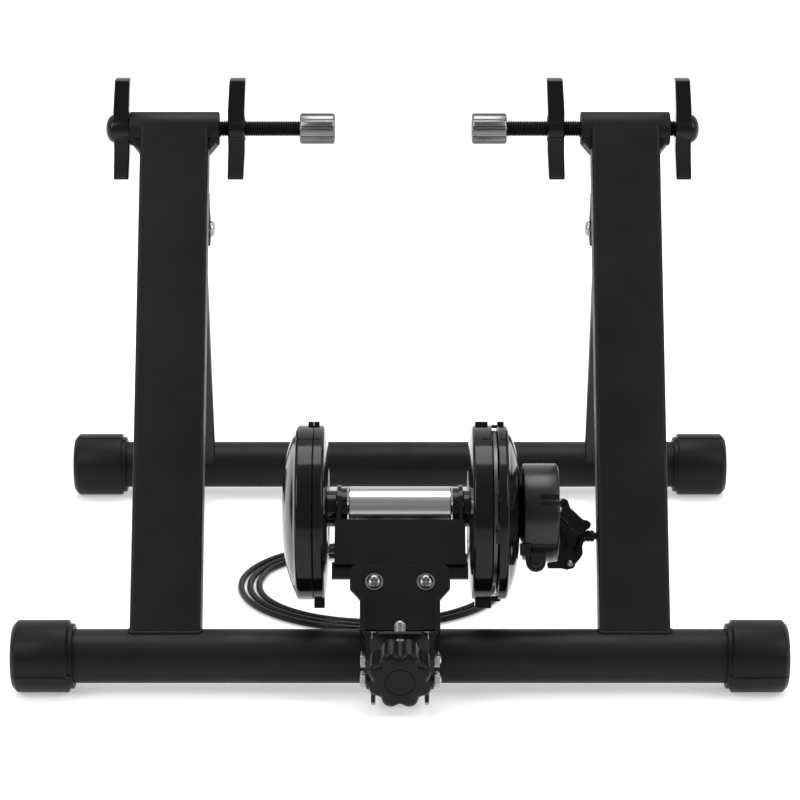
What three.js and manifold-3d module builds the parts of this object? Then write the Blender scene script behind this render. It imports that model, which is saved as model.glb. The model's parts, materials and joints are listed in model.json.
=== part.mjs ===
// Folding magnetic turbo trainer for a bicycle, in millimetres, +Z up.
// The rear frame stands at low Y and holds the wheel axle between two clamp screws.
// The front frame hangs on two fold bolts behind the uprights. A resistance unit with a
// roller leans on a bracket on the rear base tube, and a cable runs from it to a remote lever.
import * as THREE from 'three';
import { mergeVertices } from 'three/addons/utils/BufferGeometryUtils.js';
import Module from 'manifold-3d';

const wasm = await Module();
wasm.setup();

// Driving dimensions of the frames
const footOverhang = 82.5;
const frameDepth = 420;
const axleDepth = 200;
const axleHeight = 360;
const tubeDiameter = 38;
const tubeWall = 2;
const footWall = 6.2;
const footLength = 40;
const footFlat = 0.5;
const uprightWidth = 50;
const uprightThickness = 25;
const uprightGap = 6;
const sectionCorner = 3;
const sectionWall = 2;
const foldAlong = 320.65;
const legFoldGap = 1.53;
const legThickness = 20;
const legSplayInner = 10.5;
const legSplayOuter = 7.7;
const legInnerGap = 0.5;
const legOuterGap = 1.1;
const plateThickness = 3;

// Driving dimensions of the axle clamps
const barrelDiameter = 25;
const barrelInnerReach = 7.5;
const barrelOuterReach = 8;
const clampScrewDiameter = 12;
const cupMouthDiameter = 15;
const cupWall = 4;
const cupDepth = 14;
const cupFloor = 3.7;
const cupSocketDepth = 8;
const cupFaceLeft = 47.7;
const cupFaceRight = 52.6;
const handleReach = 39;
const handleThickness = 11.5;
const handleHubDiameter = 21;
const handleGapLeft = 0.3;
const handleGapRight = 4;
const lockNutThickness = 12.3;
const lockNutGapLeft = 6.4;
const lockNutGapRight = 12;

// Driving dimensions of the resistance unit
const pivotRise = 9;
const pivotLobe = 9.5;
const pivotClearance = 0.91;
const unitLean = 43.28;
const unitTravel = 65;
const coverStand = 49.5;
const shaftDiameter = 10;
const rollerDiameter = 30;
const rollerLength = 73;
const rollerSideGap = 0.8;
const bearingWidth = 5;
const bearingRecess = 0.4;
const coverDiameter = 124;
const coverDrop = 3.5;
const coverWall = 2.5;
const flywheelClearance = 4;
const flywheelThickness = 11;
const runningGap = 2;
const rotorClearance = 1;
const rotorThickness = 2.6;
const drumDiameter = 69;

// Widths of the covers, the drum and the cable box along the shaft
const leftCrownGap = 6.1;
const leftInnerDome = 2.3;
const leftHubRecess = 3.6;
const leftInnerBand = 8;
const flywheelCoverGap = 3.6;
const leftOuterDome = 10.3;
const rightCrownGap = 3.7;
const rightInnerDome = 2.4;
const rightHubRecess = 2.8;
const rightInnerBand = 14;
const rotorSlot = 4.2;
const rightOuterBand = 7.2;
const rightOuterDome = 8.5;
const drumNeckLength = 2.3;
const drumLength = 25.2;
const boxWidth = 19.5;
const outletLength = 2.2;

// Driving dimensions of the tension screw
const tipSetback = 12;
const tipRise = 31.2;
const screwRise = 9.5;
const tensionScrewDiameter = 8;
const tensionKnobDiameter = 44.6;
const tensionKnobThickness = 17;
const tensionReach = 74.6;
const bracketSetback = 22.3;

// Driving dimensions of the cable and the remote lever
const cableDiameter = 5;
const coilHalfWidth = 104;
const coilHalfDepth = 92;
const coilPitch = 7;
const coilTurns = 2.25;
const coilCentreX = -20;
const coilCentreY = 198;
const remoteX = -8;
const remoteY = 236;
const handlebarDiameter = 22.2;
const remoteDiameter = 29;
const remoteThickness = 12;
const leverLength = 42;

// Clearances and drawing values
const seat = 0.3;
const drawingTolerance = 0.01;
const overrun = 2;
const screwHead = 4;
const boltDiameter = 6;
const boltHeadFlats = 10;

// Counts of faces round the curved forms
const tubeSides = 24;
const discSides = 28;
const bearingSides = 16;
const smallSides = 12;
const discHoleSides = 8;
const cornerSteps = 3;

// Derived radii and heights
const halfTurn = Math.PI;
const quarterTurn = Math.PI / 2;
const degrees = Math.PI / 180;
const tubeRadius = tubeDiameter / 2;
const footRadius = tubeRadius + seat + footWall;
const baseHeight = footRadius - footFlat;
const boltRadius = boltDiameter / 2;
const shaftRadius = shaftDiameter / 2;
const coverRadius = coverDiameter / 2;
const coverBore = coverRadius - coverWall;
const shaftHeight = coverStand + coverRadius + coverDrop;
const pivotHeight = baseHeight + pivotRise;
const pivotDepth = -Math.sqrt((tubeRadius + pivotLobe + pivotClearance) ** 2 - pivotRise ** 2);
const tipDepth = pivotDepth - tipSetback;
const tipHeight = pivotHeight + tipRise;

// Derived places along the shaft, from the roller out to the uprights
const bossInner = rollerLength / 2 + rollerSideGap;
const bearingInner = bossInner + plateThickness / 2 + seat;
const yokeEarOuter = bearingInner + bearingWidth + bearingRecess;
const leftInnerCrown = -yokeEarOuter - leftCrownGap;
const leftRimInner = leftInnerCrown - leftInnerDome;
const leftHubFace = leftInnerCrown - leftHubRecess;
const leftSeam = leftRimInner - leftInnerBand;
const flywheelTo = leftHubFace - coverWall - runningGap;
const flywheelFrom = flywheelTo - flywheelThickness;
const leftRimOuter = flywheelFrom - flywheelCoverGap;
const leftCrown = leftRimOuter - leftOuterDome;
const rightInnerCrown = yokeEarOuter + rightCrownGap;
const rightRimInner = rightInnerCrown + rightInnerDome;
const rightHubFace = rightInnerCrown + rightHubRecess;
const rightSlotInner = rightRimInner + rightInnerBand;
const rightSlotOuter = rightSlotInner + rotorSlot;
const rightRimOuter = rightSlotOuter + rightOuterBand;
const rightCrown = rightRimOuter + rightOuterDome;
const drumInner = rightCrown + drumNeckLength;
const drumOuter = drumInner + drumLength;
const boxStart = drumOuter + seat;
const boxSide = boxStart + boxWidth;
const outletEnd = boxSide + outletLength;
const uprightInner = outletEnd + uprightGap;
const uprightOuter = uprightInner + uprightWidth;
const halfSpan = uprightOuter + footOverhang;

// Derived places of the uprights, the fold hinge and the axle clamps
const uprightRise = axleHeight - baseHeight;
const uprightLean = Math.atan2(axleDepth, uprightRise);
const uprightLength = Math.hypot(axleDepth, uprightRise);
const foldBehind = uprightThickness / 2 + legFoldGap + legThickness / 2;
const foldHingeDepth = foldAlong * Math.sin(uprightLean) + foldBehind * Math.cos(uprightLean);
const foldHingeHeight = baseHeight + foldAlong * Math.cos(uprightLean) - foldBehind * Math.sin(uprightLean);
const legWidth = uprightWidth - 2 * plateThickness - legInnerGap - legOuterGap;
const barrelInner = uprightInner - barrelInnerReach;
const barrelOuter = uprightOuter + barrelOuterReach;
const cupDiameter = cupMouthDiameter + 2 * cupWall;
const cupLength = cupDepth + cupFloor + cupSocketDepth;

// Materials
const finish = (color, roughness, metalness) => new THREE.MeshStandardMaterial({ color, roughness, metalness });
const paint = finish(0x29292a, 0.5, 0.1);
const rubber = finish(0x222222, 0.45, 0);
const gloss = finish(0x0f0f10, 0.12, 0);
const mould = finish(0x1a1a1b, 0.38, 0);
const zinc = finish(0xb8bbbe, 0.35, 0.9);
const polished = finish(0xd2d4d6, 0.18, 1);
const blackSteel = finish(0x1b1b1c, 0.4, 0.7);
const iron = finish(0x5a5b5d, 0.5, 0.9);
const magnetFinish = finish(0x6f7072, 0.4, 0.8);

// Keeps positions only, welds the shared vertices and drops empty triangles.
function welded(geometry) {
  const bare = new THREE.BufferGeometry();
  bare.setAttribute('position', geometry.getAttribute('position').clone());
  if (geometry.index) bare.setIndex(geometry.index.clone());
  const merged = mergeVertices(bare);
  const from = merged.index.array;
  const kept = [];
  for (let i = 0; i < from.length; i += 3) {
    const [a, b, c] = [from[i], from[i + 1], from[i + 2]];
    if (a !== b && b !== c && c !== a) kept.push(a, b, c);
  }
  merged.setIndex(kept);
  return merged;
}

// Signed volume of a closed mesh; it is negative where the faces point inwards.
function volumeOf(geometry) {
  const place = geometry.getAttribute('position');
  const index = geometry.index.array;
  const [a, b, c] = [new THREE.Vector3(), new THREE.Vector3(), new THREE.Vector3()];
  let sum = 0;
  for (let i = 0; i < index.length; i += 3) {
    a.fromBufferAttribute(place, index[i]);
    b.fromBufferAttribute(place, index[i + 1]);
    c.fromBufferAttribute(place, index[i + 2]);
    sum += a.dot(b.cross(c));
  }
  return sum / 6;
}

function solidOf(geometry) {
  const closed = welded(geometry);
  const index = Uint32Array.from(closed.index.array);
  if (volumeOf(closed) < 0) index.reverse();
  const vertProperties = Float32Array.from(closed.getAttribute('position').array);
  return new wasm.Manifold(new wasm.Mesh({ numProp: 3, vertProperties, triVerts: index }));
}

function geometryOf(solid) {
  const mesh = solid.getMesh();
  const geometry = new THREE.BufferGeometry();
  geometry.setAttribute('position', new THREE.BufferAttribute(Float32Array.from(mesh.vertProperties), 3));
  geometry.setIndex(Array.from(mesh.triVerts));
  return geometry;
}

function join(first, ...others) {
  return geometryOf(others.reduce((sum, next) => sum.add(solidOf(next)), solidOf(first)));
}

function cut(first, ...tools) {
  return geometryOf(tools.reduce((rest, tool) => rest.subtract(solidOf(tool)), solidOf(first)));
}

function common(first, second) {
  return geometryOf(solidOf(first).intersect(solidOf(second)));
}

// Placing: a copy moved, turned or mirrored
const moved = (geometry, x, y, z) => geometry.clone().translate(x, y, z);
const turnedX = (geometry, angle) => geometry.clone().rotateX(angle);
const mirrored = (geometry) => welded(geometry).scale(-1, 1, 1);
const placedBy = (geometry, matrix) => geometry.clone().applyMatrix4(matrix);

function mapped(geometry, change) {
  const shifted = welded(geometry);
  const place = shifted.getAttribute('position');
  const point = new THREE.Vector3();
  for (let i = 0; i < place.count; i += 1) {
    point.fromBufferAttribute(place, i);
    change(point);
    place.setXYZ(i, point.x, point.y, point.z);
  }
  return shifted;
}

// A box given by its lowest and highest corners
function box(x0, y0, z0, x1, y1, z1) {
  const block = new THREE.BoxGeometry(x1 - x0, y1 - y0, z1 - z0);
  return block.translate((x0 + x1) / 2, (y0 + y1) / 2, (z0 + z1) / 2);
}

// A profile of [x, radius] pairs turned about the X axis
function revolved(profile, sides) {
  const points = profile.map(([x, radius]) => new THREE.Vector2(radius, x));
  const [first, last] = [profile[0], profile[profile.length - 1]];
  if (first[1] > 0 || last[1] > 0) points.push(points[0].clone());
  return new THREE.LatheGeometry(points, sides).rotateZ(-quarterTurn);
}

// Bars and rings along X
function bar(radius, from, to, sides = smallSides) {
  return revolved([[from, 0], [from, radius], [to, radius], [to, 0]], sides);
}

function ring(outer, inner, from, to, sides = smallSides) {
  return revolved([[from, inner], [from, outer], [to, outer], [to, inner]], sides);
}

function outlineOf(points) {
  return new THREE.Shape(points.map(([u, v]) => new THREE.Vector2(u, v)));
}

function roundedBox(x0, y0, x1, y1, radius) {
  const shape = new THREE.Shape();
  shape.absarc(x1 - radius, y0 + radius, radius, -quarterTurn, 0);
  shape.absarc(x1 - radius, y1 - radius, radius, 0, quarterTurn);
  shape.absarc(x0 + radius, y1 - radius, radius, quarterTurn, halfTurn);
  shape.absarc(x0 + radius, y0 + radius, radius, halfTurn, halfTurn + quarterTurn);
  return shape;
}

function extruded(shape, depth, curveSegments = cornerSteps) {
  return new THREE.ExtrudeGeometry(shape, { depth, bevelEnabled: false, curveSegments });
}

const sideways = new THREE.Matrix4().makeBasis(
  new THREE.Vector3(0, 1, 0),
  new THREE.Vector3(0, 0, 1),
  new THREE.Vector3(1, 0, 0),
);
const forwards = new THREE.Matrix4().makeBasis(
  new THREE.Vector3(1, 0, 0),
  new THREE.Vector3(0, 0, 1),
  new THREE.Vector3(0, -1, 0),
);

// A plate drawn in (y, z) with its thickness along X
function sidePlate(shape, from, to, steps = cornerSteps) {
  return extruded(shape, to - from, steps).applyMatrix4(sideways).translate(from, 0, 0);
}

// A plate drawn in (x, z) with its thickness towards -Y, from back to front
function facePlate(shape, back, front, steps = cornerSteps) {
  return extruded(shape, front - back, steps).applyMatrix4(forwards).translate(0, -back, 0);
}

function hexBar(flats, from, to) {
  return turnedX(bar(flats / Math.sqrt(3), from, to, 6), halfTurn / 6);
}

const model = new THREE.Group();
const parts = {};

// Adds a piece as a named mesh, without the needless vertices that cuts leave on flat faces.
function add(name, geometry, material, parent = model) {
  const solid = solidOf(geometry).simplify(drawingTolerance);
  const mesh = new THREE.Mesh(geometryOf(solid), material);
  mesh.name = name;
  parent.add(mesh);
  parts[name] = mesh;
  return mesh;
}

function addPair(name, geometry, material, parent = model) {
  add(`${name}_left`, mirrored(geometry), material, parent);
  add(`${name}_right`, geometry, material, parent);
}

// Base tubes, open at both ends, which the feet close
const footEndWall = 5;
const footEndBevel = 4;
const footCollarLength = 3.5;
const footCollarWall = 3.7;
const footGrooveWidth = 1.6;
const footGrooveDepth = 1;
const footGrooveAngle = -14;

function baseTube(depth) {
  const end = halfSpan - footEndWall - seat;
  const tube = ring(tubeRadius, tubeRadius - tubeWall, -end, end, tubeSides);
  return moved(tube, 0, depth, baseHeight);
}

// A moulded foot: a cap with a bevelled end, a thinner collar, a groove and a flat below
function foot(depth, grooveAngle) {
  const end = halfSpan;
  const bore = tubeRadius + seat;
  const collar = bore + footCollarWall;
  const cap = revolved([
    [end, 0],
    [end, footRadius - footEndBevel],
    [end - footEndBevel, footRadius],
    [end - footLength, footRadius],
    [end - footLength, collar],
    [end - footLength - footCollarLength, collar],
    [end - footLength - footCollarLength, bore],
    [end - footEndWall, bore],
    [end - footEndWall, 0],
  ].reverse(), tubeSides);
  const grooveBottom = footRadius - footGrooveDepth;
  const half = footGrooveWidth / 2;
  const grooveStart = end - footLength - footCollarLength;
  const groove = box(grooveStart, -footRadius - overrun, -half, end - footEndBevel, -grooveBottom, half);
  const floorCut = box(0, -footRadius, -footRadius - overrun, end + overrun, footRadius, -baseHeight);
  return moved(cut(cap, turnedX(groove, -grooveAngle * degrees), floorCut), 0, depth, baseHeight);
}

// The leaning frame of an upright: Z runs along it, Y points to its rear face
const uprightPlace = new THREE.Matrix4()
  .makeRotationX(-uprightLean)
  .setPosition(0, 0, baseHeight);

function upright() {
  const half = uprightThickness / 2;
  const [inner, outer] = [uprightInner, uprightOuter];
  const section = roundedBox(inner, -half, outer, half, sectionCorner);
  const hollow = roundedBox(
    inner + sectionWall,
    -half + sectionWall,
    outer - sectionWall,
    half - sectionWall,
    sectionCorner - sectionWall / 2,
  );
  section.holes.push(hollow);
  const post = placedBy(extruded(section, uprightLength), uprightPlace);
  const tubeCope = moved(bar(tubeRadius + seat, 0, halfSpan, tubeSides), 0, 0, baseHeight);
  const barrelCope = bar(barrelDiameter / 2 + seat, 0, halfSpan, tubeSides);
  return cut(post, tubeCope, moved(barrelCope, 0, axleDepth, axleHeight));
}

const clampChamfer = 1;

function clampBarrel() {
  const radius = barrelDiameter / 2;
  const chamfer = clampChamfer;
  const bore = clampScrewDiameter / 2 + seat;
  const barrel = revolved([
    [barrelInner, bore],
    [barrelInner, radius - chamfer],
    [barrelInner + chamfer, radius],
    [barrelOuter - chamfer, radius],
    [barrelOuter, radius - chamfer],
    [barrelOuter, bore],
  ], tubeSides);
  return moved(barrel, 0, axleDepth, axleHeight);
}

// Fold hinge: two ears and a strap behind each upright, and a bolt through the leg
const earRadius = 13;
const earFoot = 24;
const earStrapGap = 5;
const foldHeadDome = 1.5;
const foldBoltRadius = 4;
const foldHeadRadius = 6;
const foldHeadThickness = 3.5;
const foldNutFlats = 13;
const foldNutThickness = 5;

function foldBracket() {
  const face = uprightThickness / 2 + seat;
  const ear = new THREE.Shape();
  ear.moveTo(face, foldAlong - earFoot);
  ear.absarc(foldBehind, foldAlong, earRadius, -quarterTurn, quarterTurn);
  ear.lineTo(face, foldAlong + earFoot);
  const outer = uprightOuter;
  const innerEar = sidePlate(ear, uprightInner, uprightInner + plateThickness);
  const outerEar = sidePlate(ear, outer - plateThickness, outer);
  const strapBack = face + plateThickness;
  const strapLow = foldAlong + legThickness / 2 + earStrapGap;
  const strap = box(uprightInner, face, strapLow, outer, strapBack, foldAlong + earFoot);
  const hole = bar(foldBoltRadius + seat, 0, halfSpan);
  const bracket = join(innerEar, outerEar, strap);
  return placedBy(cut(bracket, moved(hole, 0, foldBehind, foldAlong)), uprightPlace);
}

function foldBolt() {
  const inner = uprightInner - seat;
  const outer = uprightOuter + seat;
  const dome = foldHeadDome;
  const bolt = revolved([
    [inner - foldHeadThickness, 0],
    [inner - foldHeadThickness, foldHeadRadius - dome],
    [inner - foldHeadThickness + dome, foldHeadRadius],
    [inner, foldHeadRadius],
    [inner, foldBoltRadius],
    [outer + foldNutThickness + overrun, foldBoltRadius],
    [outer + foldNutThickness + overrun, 0],
  ], smallSides);
  const nut = hexBar(foldNutFlats, outer, outer + foldNutThickness);
  return moved(join(bolt, nut), 0, foldHingeDepth, foldHingeHeight);
}

// A front leg: its frame starts at the fold bolt, with Z down along the leg
const legRun = frameDepth - foldHingeDepth;
const legDrop = foldHingeHeight - baseHeight;
const legLength = Math.hypot(legRun, legDrop);
const legAxis = new THREE.Vector3(0, legRun / legLength, -legDrop / legLength);
const acrossAxis = new THREE.Vector3(1, 0, 0);
const legPlace = new THREE.Matrix4()
  .makeBasis(acrossAxis, legAxis.clone().cross(acrossAxis), legAxis)
  .setPosition(0, foldHingeDepth, foldHingeHeight);
const legInner = uprightInner + plateThickness + legInnerGap;

function frontLeg() {
  const half = legThickness / 2;
  const legOuter = legInner + legWidth;
  const outline = new THREE.Shape();
  outline.moveTo(-half, legLength);
  outline.absarc(0, 0, half, halfTurn, halfTurn * 2);
  outline.lineTo(half, legLength);
  const side = sidePlate(outline, legInner, legOuter, cornerSteps * 2);
  const section = roundedBox(legInner, -half, legOuter, half, sectionCorner);
  const square = moved(extruded(section, legLength + legThickness), 0, 0, -legThickness);
  const hollowTop = legThickness;
  const inside = roundedBox(
    legInner + sectionWall,
    -half + sectionWall,
    legOuter - sectionWall,
    half - sectionWall,
    sectionCorner - sectionWall / 2,
  );
  const hollow = moved(extruded(inside, legLength), 0, 0, hollowTop);
  const straight = cut(common(side, square), hollow, bar(foldBoltRadius + seat, 0, halfSpan));
  const splayed = mapped(straight, (point) => {
    const share = point.z / legLength;
    const across = (point.x - legInner) / legWidth;
    point.x += share * (legSplayInner + across * (legSplayOuter - legSplayInner));
  });
  const cope = moved(bar(tubeRadius + seat, 0, halfSpan, tubeSides), 0, frameDepth, baseHeight);
  return cut(placedBy(splayed, legPlace), cope);
}

// Rear and front frames
add('rear_base_tube', baseTube(0), paint);
addPair('rear_foot', foot(0, footGrooveAngle), rubber);
addPair('upright', upright(), paint);
addPair('clamp_barrel', clampBarrel(), paint);
addPair('fold_bracket', foldBracket(), paint);
addPair('fold_bolt', foldBolt(), zinc);
add('front_base_tube', baseTube(frameDepth), paint);
addPair('front_foot', foot(frameDepth, -footGrooveAngle), rubber);
addPair('front_leg', frontLeg(), paint);

// Axle clamps
const cupRibs = 16;
const cupRibHeight = 0.8;
const cupRimBevel = 1;
const cupMouthTaper = 2.5;
const lockHubRadius = 10;
const armRootWidth = 19;
const armTipWidth = 15;
const armSweep = 5;
const handleCapRadius = 7;
const handleCapHeight = 7;
const handleSocketWall = 3;

// A steel cup with ribs outside, a tapered mouth for the axle nut and a socket for the screw
function axleCup() {
  const outer = cupDiameter / 2;
  const shape = new THREE.Shape();
  const steps = cupRibs * 4;
  for (let i = 0; i < steps; i += 1) {
    const angle = (i / steps) * 2 * halfTurn;
    const radius = i % 4 < 2 ? outer : outer - cupRibHeight;
    if (i === 0) shape.moveTo(radius, 0);
    else shape.lineTo(radius * Math.cos(angle), radius * Math.sin(angle));
  }
  const ribbed = sidePlate(shape, 0, cupLength);
  const rounding = revolved([
    [0, 0],
    [0, outer - cupRimBevel],
    [cupRimBevel, outer],
    [cupLength - cupRimBevel, outer],
    [cupLength, outer - cupRimBevel],
    [cupLength, 0],
  ], cupRibs * 2);
  const mouth = cupMouthDiameter / 2;
  const hollow = revolved([
    [-overrun, 0],
    [-overrun, mouth + cupMouthTaper / 2],
    [0, mouth + cupMouthTaper / 2],
    [cupMouthTaper, mouth],
    [cupDepth, mouth],
    [cupDepth, 0],
  ], smallSides);
  const socket = bar(clampScrewDiameter / 2 + seat, cupLength - cupSocketDepth, cupLength + overrun);
  return cut(common(ribbed, rounding), hollow, socket);
}

// Two swept arms round a hub, drawn in (y, z)
function armedShape(reach, hubRadius) {
  const root = armRootWidth / 2;
  const tip = armTipWidth / 2;
  const corner = tip / 2;
  const shape = new THREE.Shape();
  shape.moveTo(root, 0);
  shape.quadraticCurveTo(root, reach / 2, tip + armSweep, reach - corner);
  shape.quadraticCurveTo(tip + armSweep, reach, tip + armSweep - corner, reach);
  shape.lineTo(armSweep - tip + corner, reach);
  shape.quadraticCurveTo(armSweep - tip, reach, armSweep - tip, reach - corner);
  shape.quadraticCurveTo(armSweep - hubRadius, reach / 2, -root, 0);
  shape.quadraticCurveTo(-root, -reach / 2, -tip - armSweep, corner - reach);
  shape.quadraticCurveTo(-tip - armSweep, -reach, corner - tip - armSweep, -reach);
  shape.lineTo(tip - armSweep - corner, -reach);
  shape.quadraticCurveTo(tip - armSweep, -reach, tip - armSweep, corner - reach);
  shape.quadraticCurveTo(hubRadius - armSweep, -reach / 2, root, 0);
  return shape;
}

function handle() {
  const arms = sidePlate(armedShape(handleReach, handleHubDiameter / 2), 0, handleThickness, cornerSteps);
  const hub = revolved([
    [0, 0],
    [0, handleHubDiameter / 2],
    [handleThickness, handleHubDiameter / 2],
    [handleThickness + overrun, handleCapRadius],
    [handleThickness + handleCapHeight - overrun, handleCapRadius - overrun / 2],
    [handleThickness + handleCapHeight, 0],
  ], smallSides);
  const socket = bar(clampScrewDiameter / 2 + seat, -overrun, handleThickness - handleSocketWall);
  return cut(join(arms, hub), socket);
}

function lockNut() {
  const arms = sidePlate(armedShape(handleReach, lockHubRadius), 0, lockNutThickness, cornerSteps);
  const hub = bar(lockHubRadius, 0, lockNutThickness);
  const bore = bar(clampScrewDiameter / 2 + seat, -overrun, lockNutThickness + overrun);
  return cut(join(arms, hub), bore);
}

function clampScrew(length) {
  const radius = clampScrewDiameter / 2;
  const chamfer = clampChamfer;
  return revolved([
    [0, 0],
    [0, radius - chamfer],
    [chamfer, radius],
    [length - chamfer, radius],
    [length, radius - chamfer],
    [length, 0],
  ], smallSides);
}

function addClamp(side, cupFace, handleGap, nutGap) {
  const flip = side === 'left' ? mirrored : (geometry) => geometry;
  const onAxle = (geometry, x) => flip(moved(geometry, x, axleDepth, axleHeight));
  const handleFrom = barrelOuter + handleGap;
  const screwFrom = cupFace + cupLength - cupSocketDepth + seat;
  const screwTo = handleFrom + handleThickness - handleSocketWall - seat;
  add(`axle_cup_${side}`, onAxle(axleCup(), cupFace), polished);
  add(`clamp_screw_${side}`, onAxle(clampScrew(screwTo - screwFrom), screwFrom), blackSteel);
  add(`clamp_handle_${side}`, onAxle(handle(), handleFrom), mould);
  add(`lock_nut_${side}`, onAxle(lockNut(), barrelInner - nutGap - lockNutThickness), mould);
}

addClamp('left', cupFaceLeft, handleGapLeft, lockNutGapLeft);
addClamp('right', cupFaceRight, handleGapRight, lockNutGapRight);

// Tension bracket on the rear base tube
const rise = screwRise * degrees;
const screwAxis = new THREE.Vector3(0, Math.cos(rise), Math.sin(rise));
const tip = new THREE.Vector3(0, tipDepth, tipHeight);
const alongScrew = (distance) => tip.clone().addScaledVector(screwAxis, distance);
const screwPlace = new THREE.Matrix4().makeRotationX(rise).setPosition(0, tipDepth, tipHeight);
const bracketPlateInner = 17;
const bracketPlateOuter = bracketPlateInner + plateThickness;
const bracketTop = 7.7;
const bracketWebDrop = 30;
const bracketProngDrop = 47.5;
const bracketCorner = 7;
const webClearance = 0.98;
const webBack = 12.3;
const slotBoltRadius = 16.6;
const slotBoltAngle = 212.7;
const hubClearRadius = 19.2;
const webReach = Math.sqrt((hubClearRadius + webClearance) ** 2 - webBack ** 2);
const hubShoulderShare = 1.28;
const hubClearFrom = 55;
const hubClearTo = 160;
const prongFloorGap = 7;

// A point of the tension bracket: distance along the screw from the web, and up from its axis
function bracketPoint(along, up) {
  const at = alongScrew(along - bracketSetback);
  return [at.y - up * Math.sin(rise), at.z + up * Math.cos(rise)];
}

function aboutPivot(radius, angle) {
  const turn = angle * degrees;
  return [pivotDepth + radius * Math.cos(turn), pivotHeight + radius * Math.sin(turn)];
}

function arcAboutPivot(radius, from, to, steps) {
  const points = [];
  for (let i = 0; i <= steps; i += 1) points.push(aboutPivot(radius, from + ((to - from) * i) / steps));
  return points;
}

function tensionBracket() {
  const shoulderRadius = hubClearRadius * hubShoulderShare;
  const outline = [
    bracketPoint(-plateThickness, bracketTop),
    bracketPoint(-plateThickness, -bracketProngDrop),
    [pivotDepth - slotBoltRadius, prongFloorGap],
    [-tubeRadius / 2, prongFloorGap],
    [0, baseHeight],
    [-tubeRadius / 2, baseHeight + tubeRadius],
    ...arcAboutPivot(hubClearRadius, hubClearFrom, hubClearTo, 8),
    aboutPivot(shoulderRadius, hubClearTo),
    bracketPoint(plateThickness / 2, bracketTop),
  ];
  const cheek = sidePlate(outlineOf(outline), bracketPlateInner, bracketPlateOuter);
  const webShape = roundedBox(
    -bracketPlateOuter,
    -bracketWebDrop,
    bracketPlateOuter,
    bracketTop,
    bracketCorner,
  );
  const web = moved(facePlate(webShape, 0, plateThickness), 0, -bracketSetback, 0);
  const reach = bracketPlateOuter + overrun;
  const cornerTrim = cut(
    box(-reach, -plateThickness - overrun, 0, reach, plateThickness, bracketTop + overrun),
    facePlate(webShape, -plateThickness - overrun, plateThickness + overrun + overrun),
  );
  const trim = placedBy(moved(cornerTrim, 0, -bracketSetback, 0), screwPlace);
  const screwHole = bar(tensionScrewDiameter / 2 + seat, -tensionReach, 0).rotateZ(quarterTurn);
  const slotHalf = (boltRadius + seat) / slotBoltRadius / degrees;
  const slotOuter = slotBoltRadius + boltRadius + seat;
  const slotInner = slotBoltRadius - boltRadius - seat;
  const slotEnd = slotBoltAngle + unitTravel + slotHalf;
  const slot = sidePlate(outlineOf([
    ...arcAboutPivot(slotOuter, slotBoltAngle - slotHalf, slotEnd, 10),
    ...arcAboutPivot(slotInner, slotEnd, slotBoltAngle - slotHalf, 10),
  ]), -halfSpan, halfSpan);
  const pivotHole = moved(bar(boltRadius + seat, -halfSpan, halfSpan), 0, pivotDepth, pivotHeight);
  const cope = moved(bar(tubeRadius + seat, -halfSpan, halfSpan, tubeSides), 0, 0, baseHeight);
  const channel = join(placedBy(web, screwPlace), cheek, mirrored(cheek));
  return cut(channel, trim, placedBy(screwHole, screwPlace), slot, pivotHole, cope);
}

// Tension screw: a pad that slides, and a screw and lobed knob that turn behind it
const padLength = 4;
const knobLobes = 8;
const knobLobeDepth = 2.6;
const knobBevel = 2;
const knobNeckRadius = 13;
const knobNeckLength = 14;
const knobFaceRadius = 10;
const knobFaceRecess = 0.8;

// Turns a piece along X into one along the screw, with its zero at the tip
const onScrew = (geometry) => placedBy(geometry.clone().rotateZ(quarterTurn), screwPlace);

function pushPad() {
  const radius = tensionScrewDiameter / 2;
  const nose = radius / 3;
  return revolved([
    [-padLength, 0],
    [-padLength, radius],
    [-radius / 2, radius],
    [0, nose],
    [0, 0],
  ], smallSides);
}

function tensionScrew() {
  const radius = tensionScrewDiameter / 2;
  const end = -tensionReach + tensionKnobThickness / 2;
  return bar(radius, end, -padLength - seat);
}

function tensionKnob() {
  const outer = tensionKnobDiameter / 2;
  const middle = outer - knobLobeDepth / 2;
  const shape = new THREE.Shape();
  const steps = knobLobes * 8;
  for (let i = 0; i < steps; i += 1) {
    const angle = (i / steps) * 2 * halfTurn;
    const radius = middle + (knobLobeDepth / 2) * Math.sin(knobLobes * angle);
    if (i === 0) shape.moveTo(radius, 0);
    else shape.lineTo(radius * Math.cos(angle), radius * Math.sin(angle));
  }
  const lobes = sidePlate(shape, -tensionReach, -tensionReach + tensionKnobThickness);
  const rounding = revolved([
    [-tensionReach, 0],
    [-tensionReach, outer - knobBevel],
    [-tensionReach + knobBevel, outer],
    [-tensionReach + tensionKnobThickness, outer],
    [-tensionReach + tensionKnobThickness, 0],
  ], tubeSides);
  const neckFrom = -tensionReach + tensionKnobThickness - seat;
  const neck = bar(knobNeckRadius, neckFrom, neckFrom + knobNeckLength);
  const faceFrom = -tensionReach - overrun;
  const face = ring(knobFaceRadius, knobFaceRadius - knobFaceRecess, faceFrom, -tensionReach + knobFaceRecess);
  const bore = bar(tensionScrewDiameter / 2 + seat, -tensionReach + tensionKnobThickness / 2 - seat, 0);
  return cut(join(common(lobes, rounding), neck), face, bore);
}

add('tension_bracket', tensionBracket(), paint);
add('push_pad', onScrew(pushPad()), zinc);
add('tension_screw', onScrew(tensionScrew()), zinc);
add('tension_knob', onScrew(tensionKnob()), mould);

// The resistance unit is drawn upright on its pivot and leans back from there.
// In its own frame X runs along the shaft, Z up to the shaft, and -Y faces the tension knob.
const unit = new THREE.Group();
unit.position.set(0, pivotDepth, pivotHeight);
unit.rotation.x = -unitLean * degrees;
model.add(unit);

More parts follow.
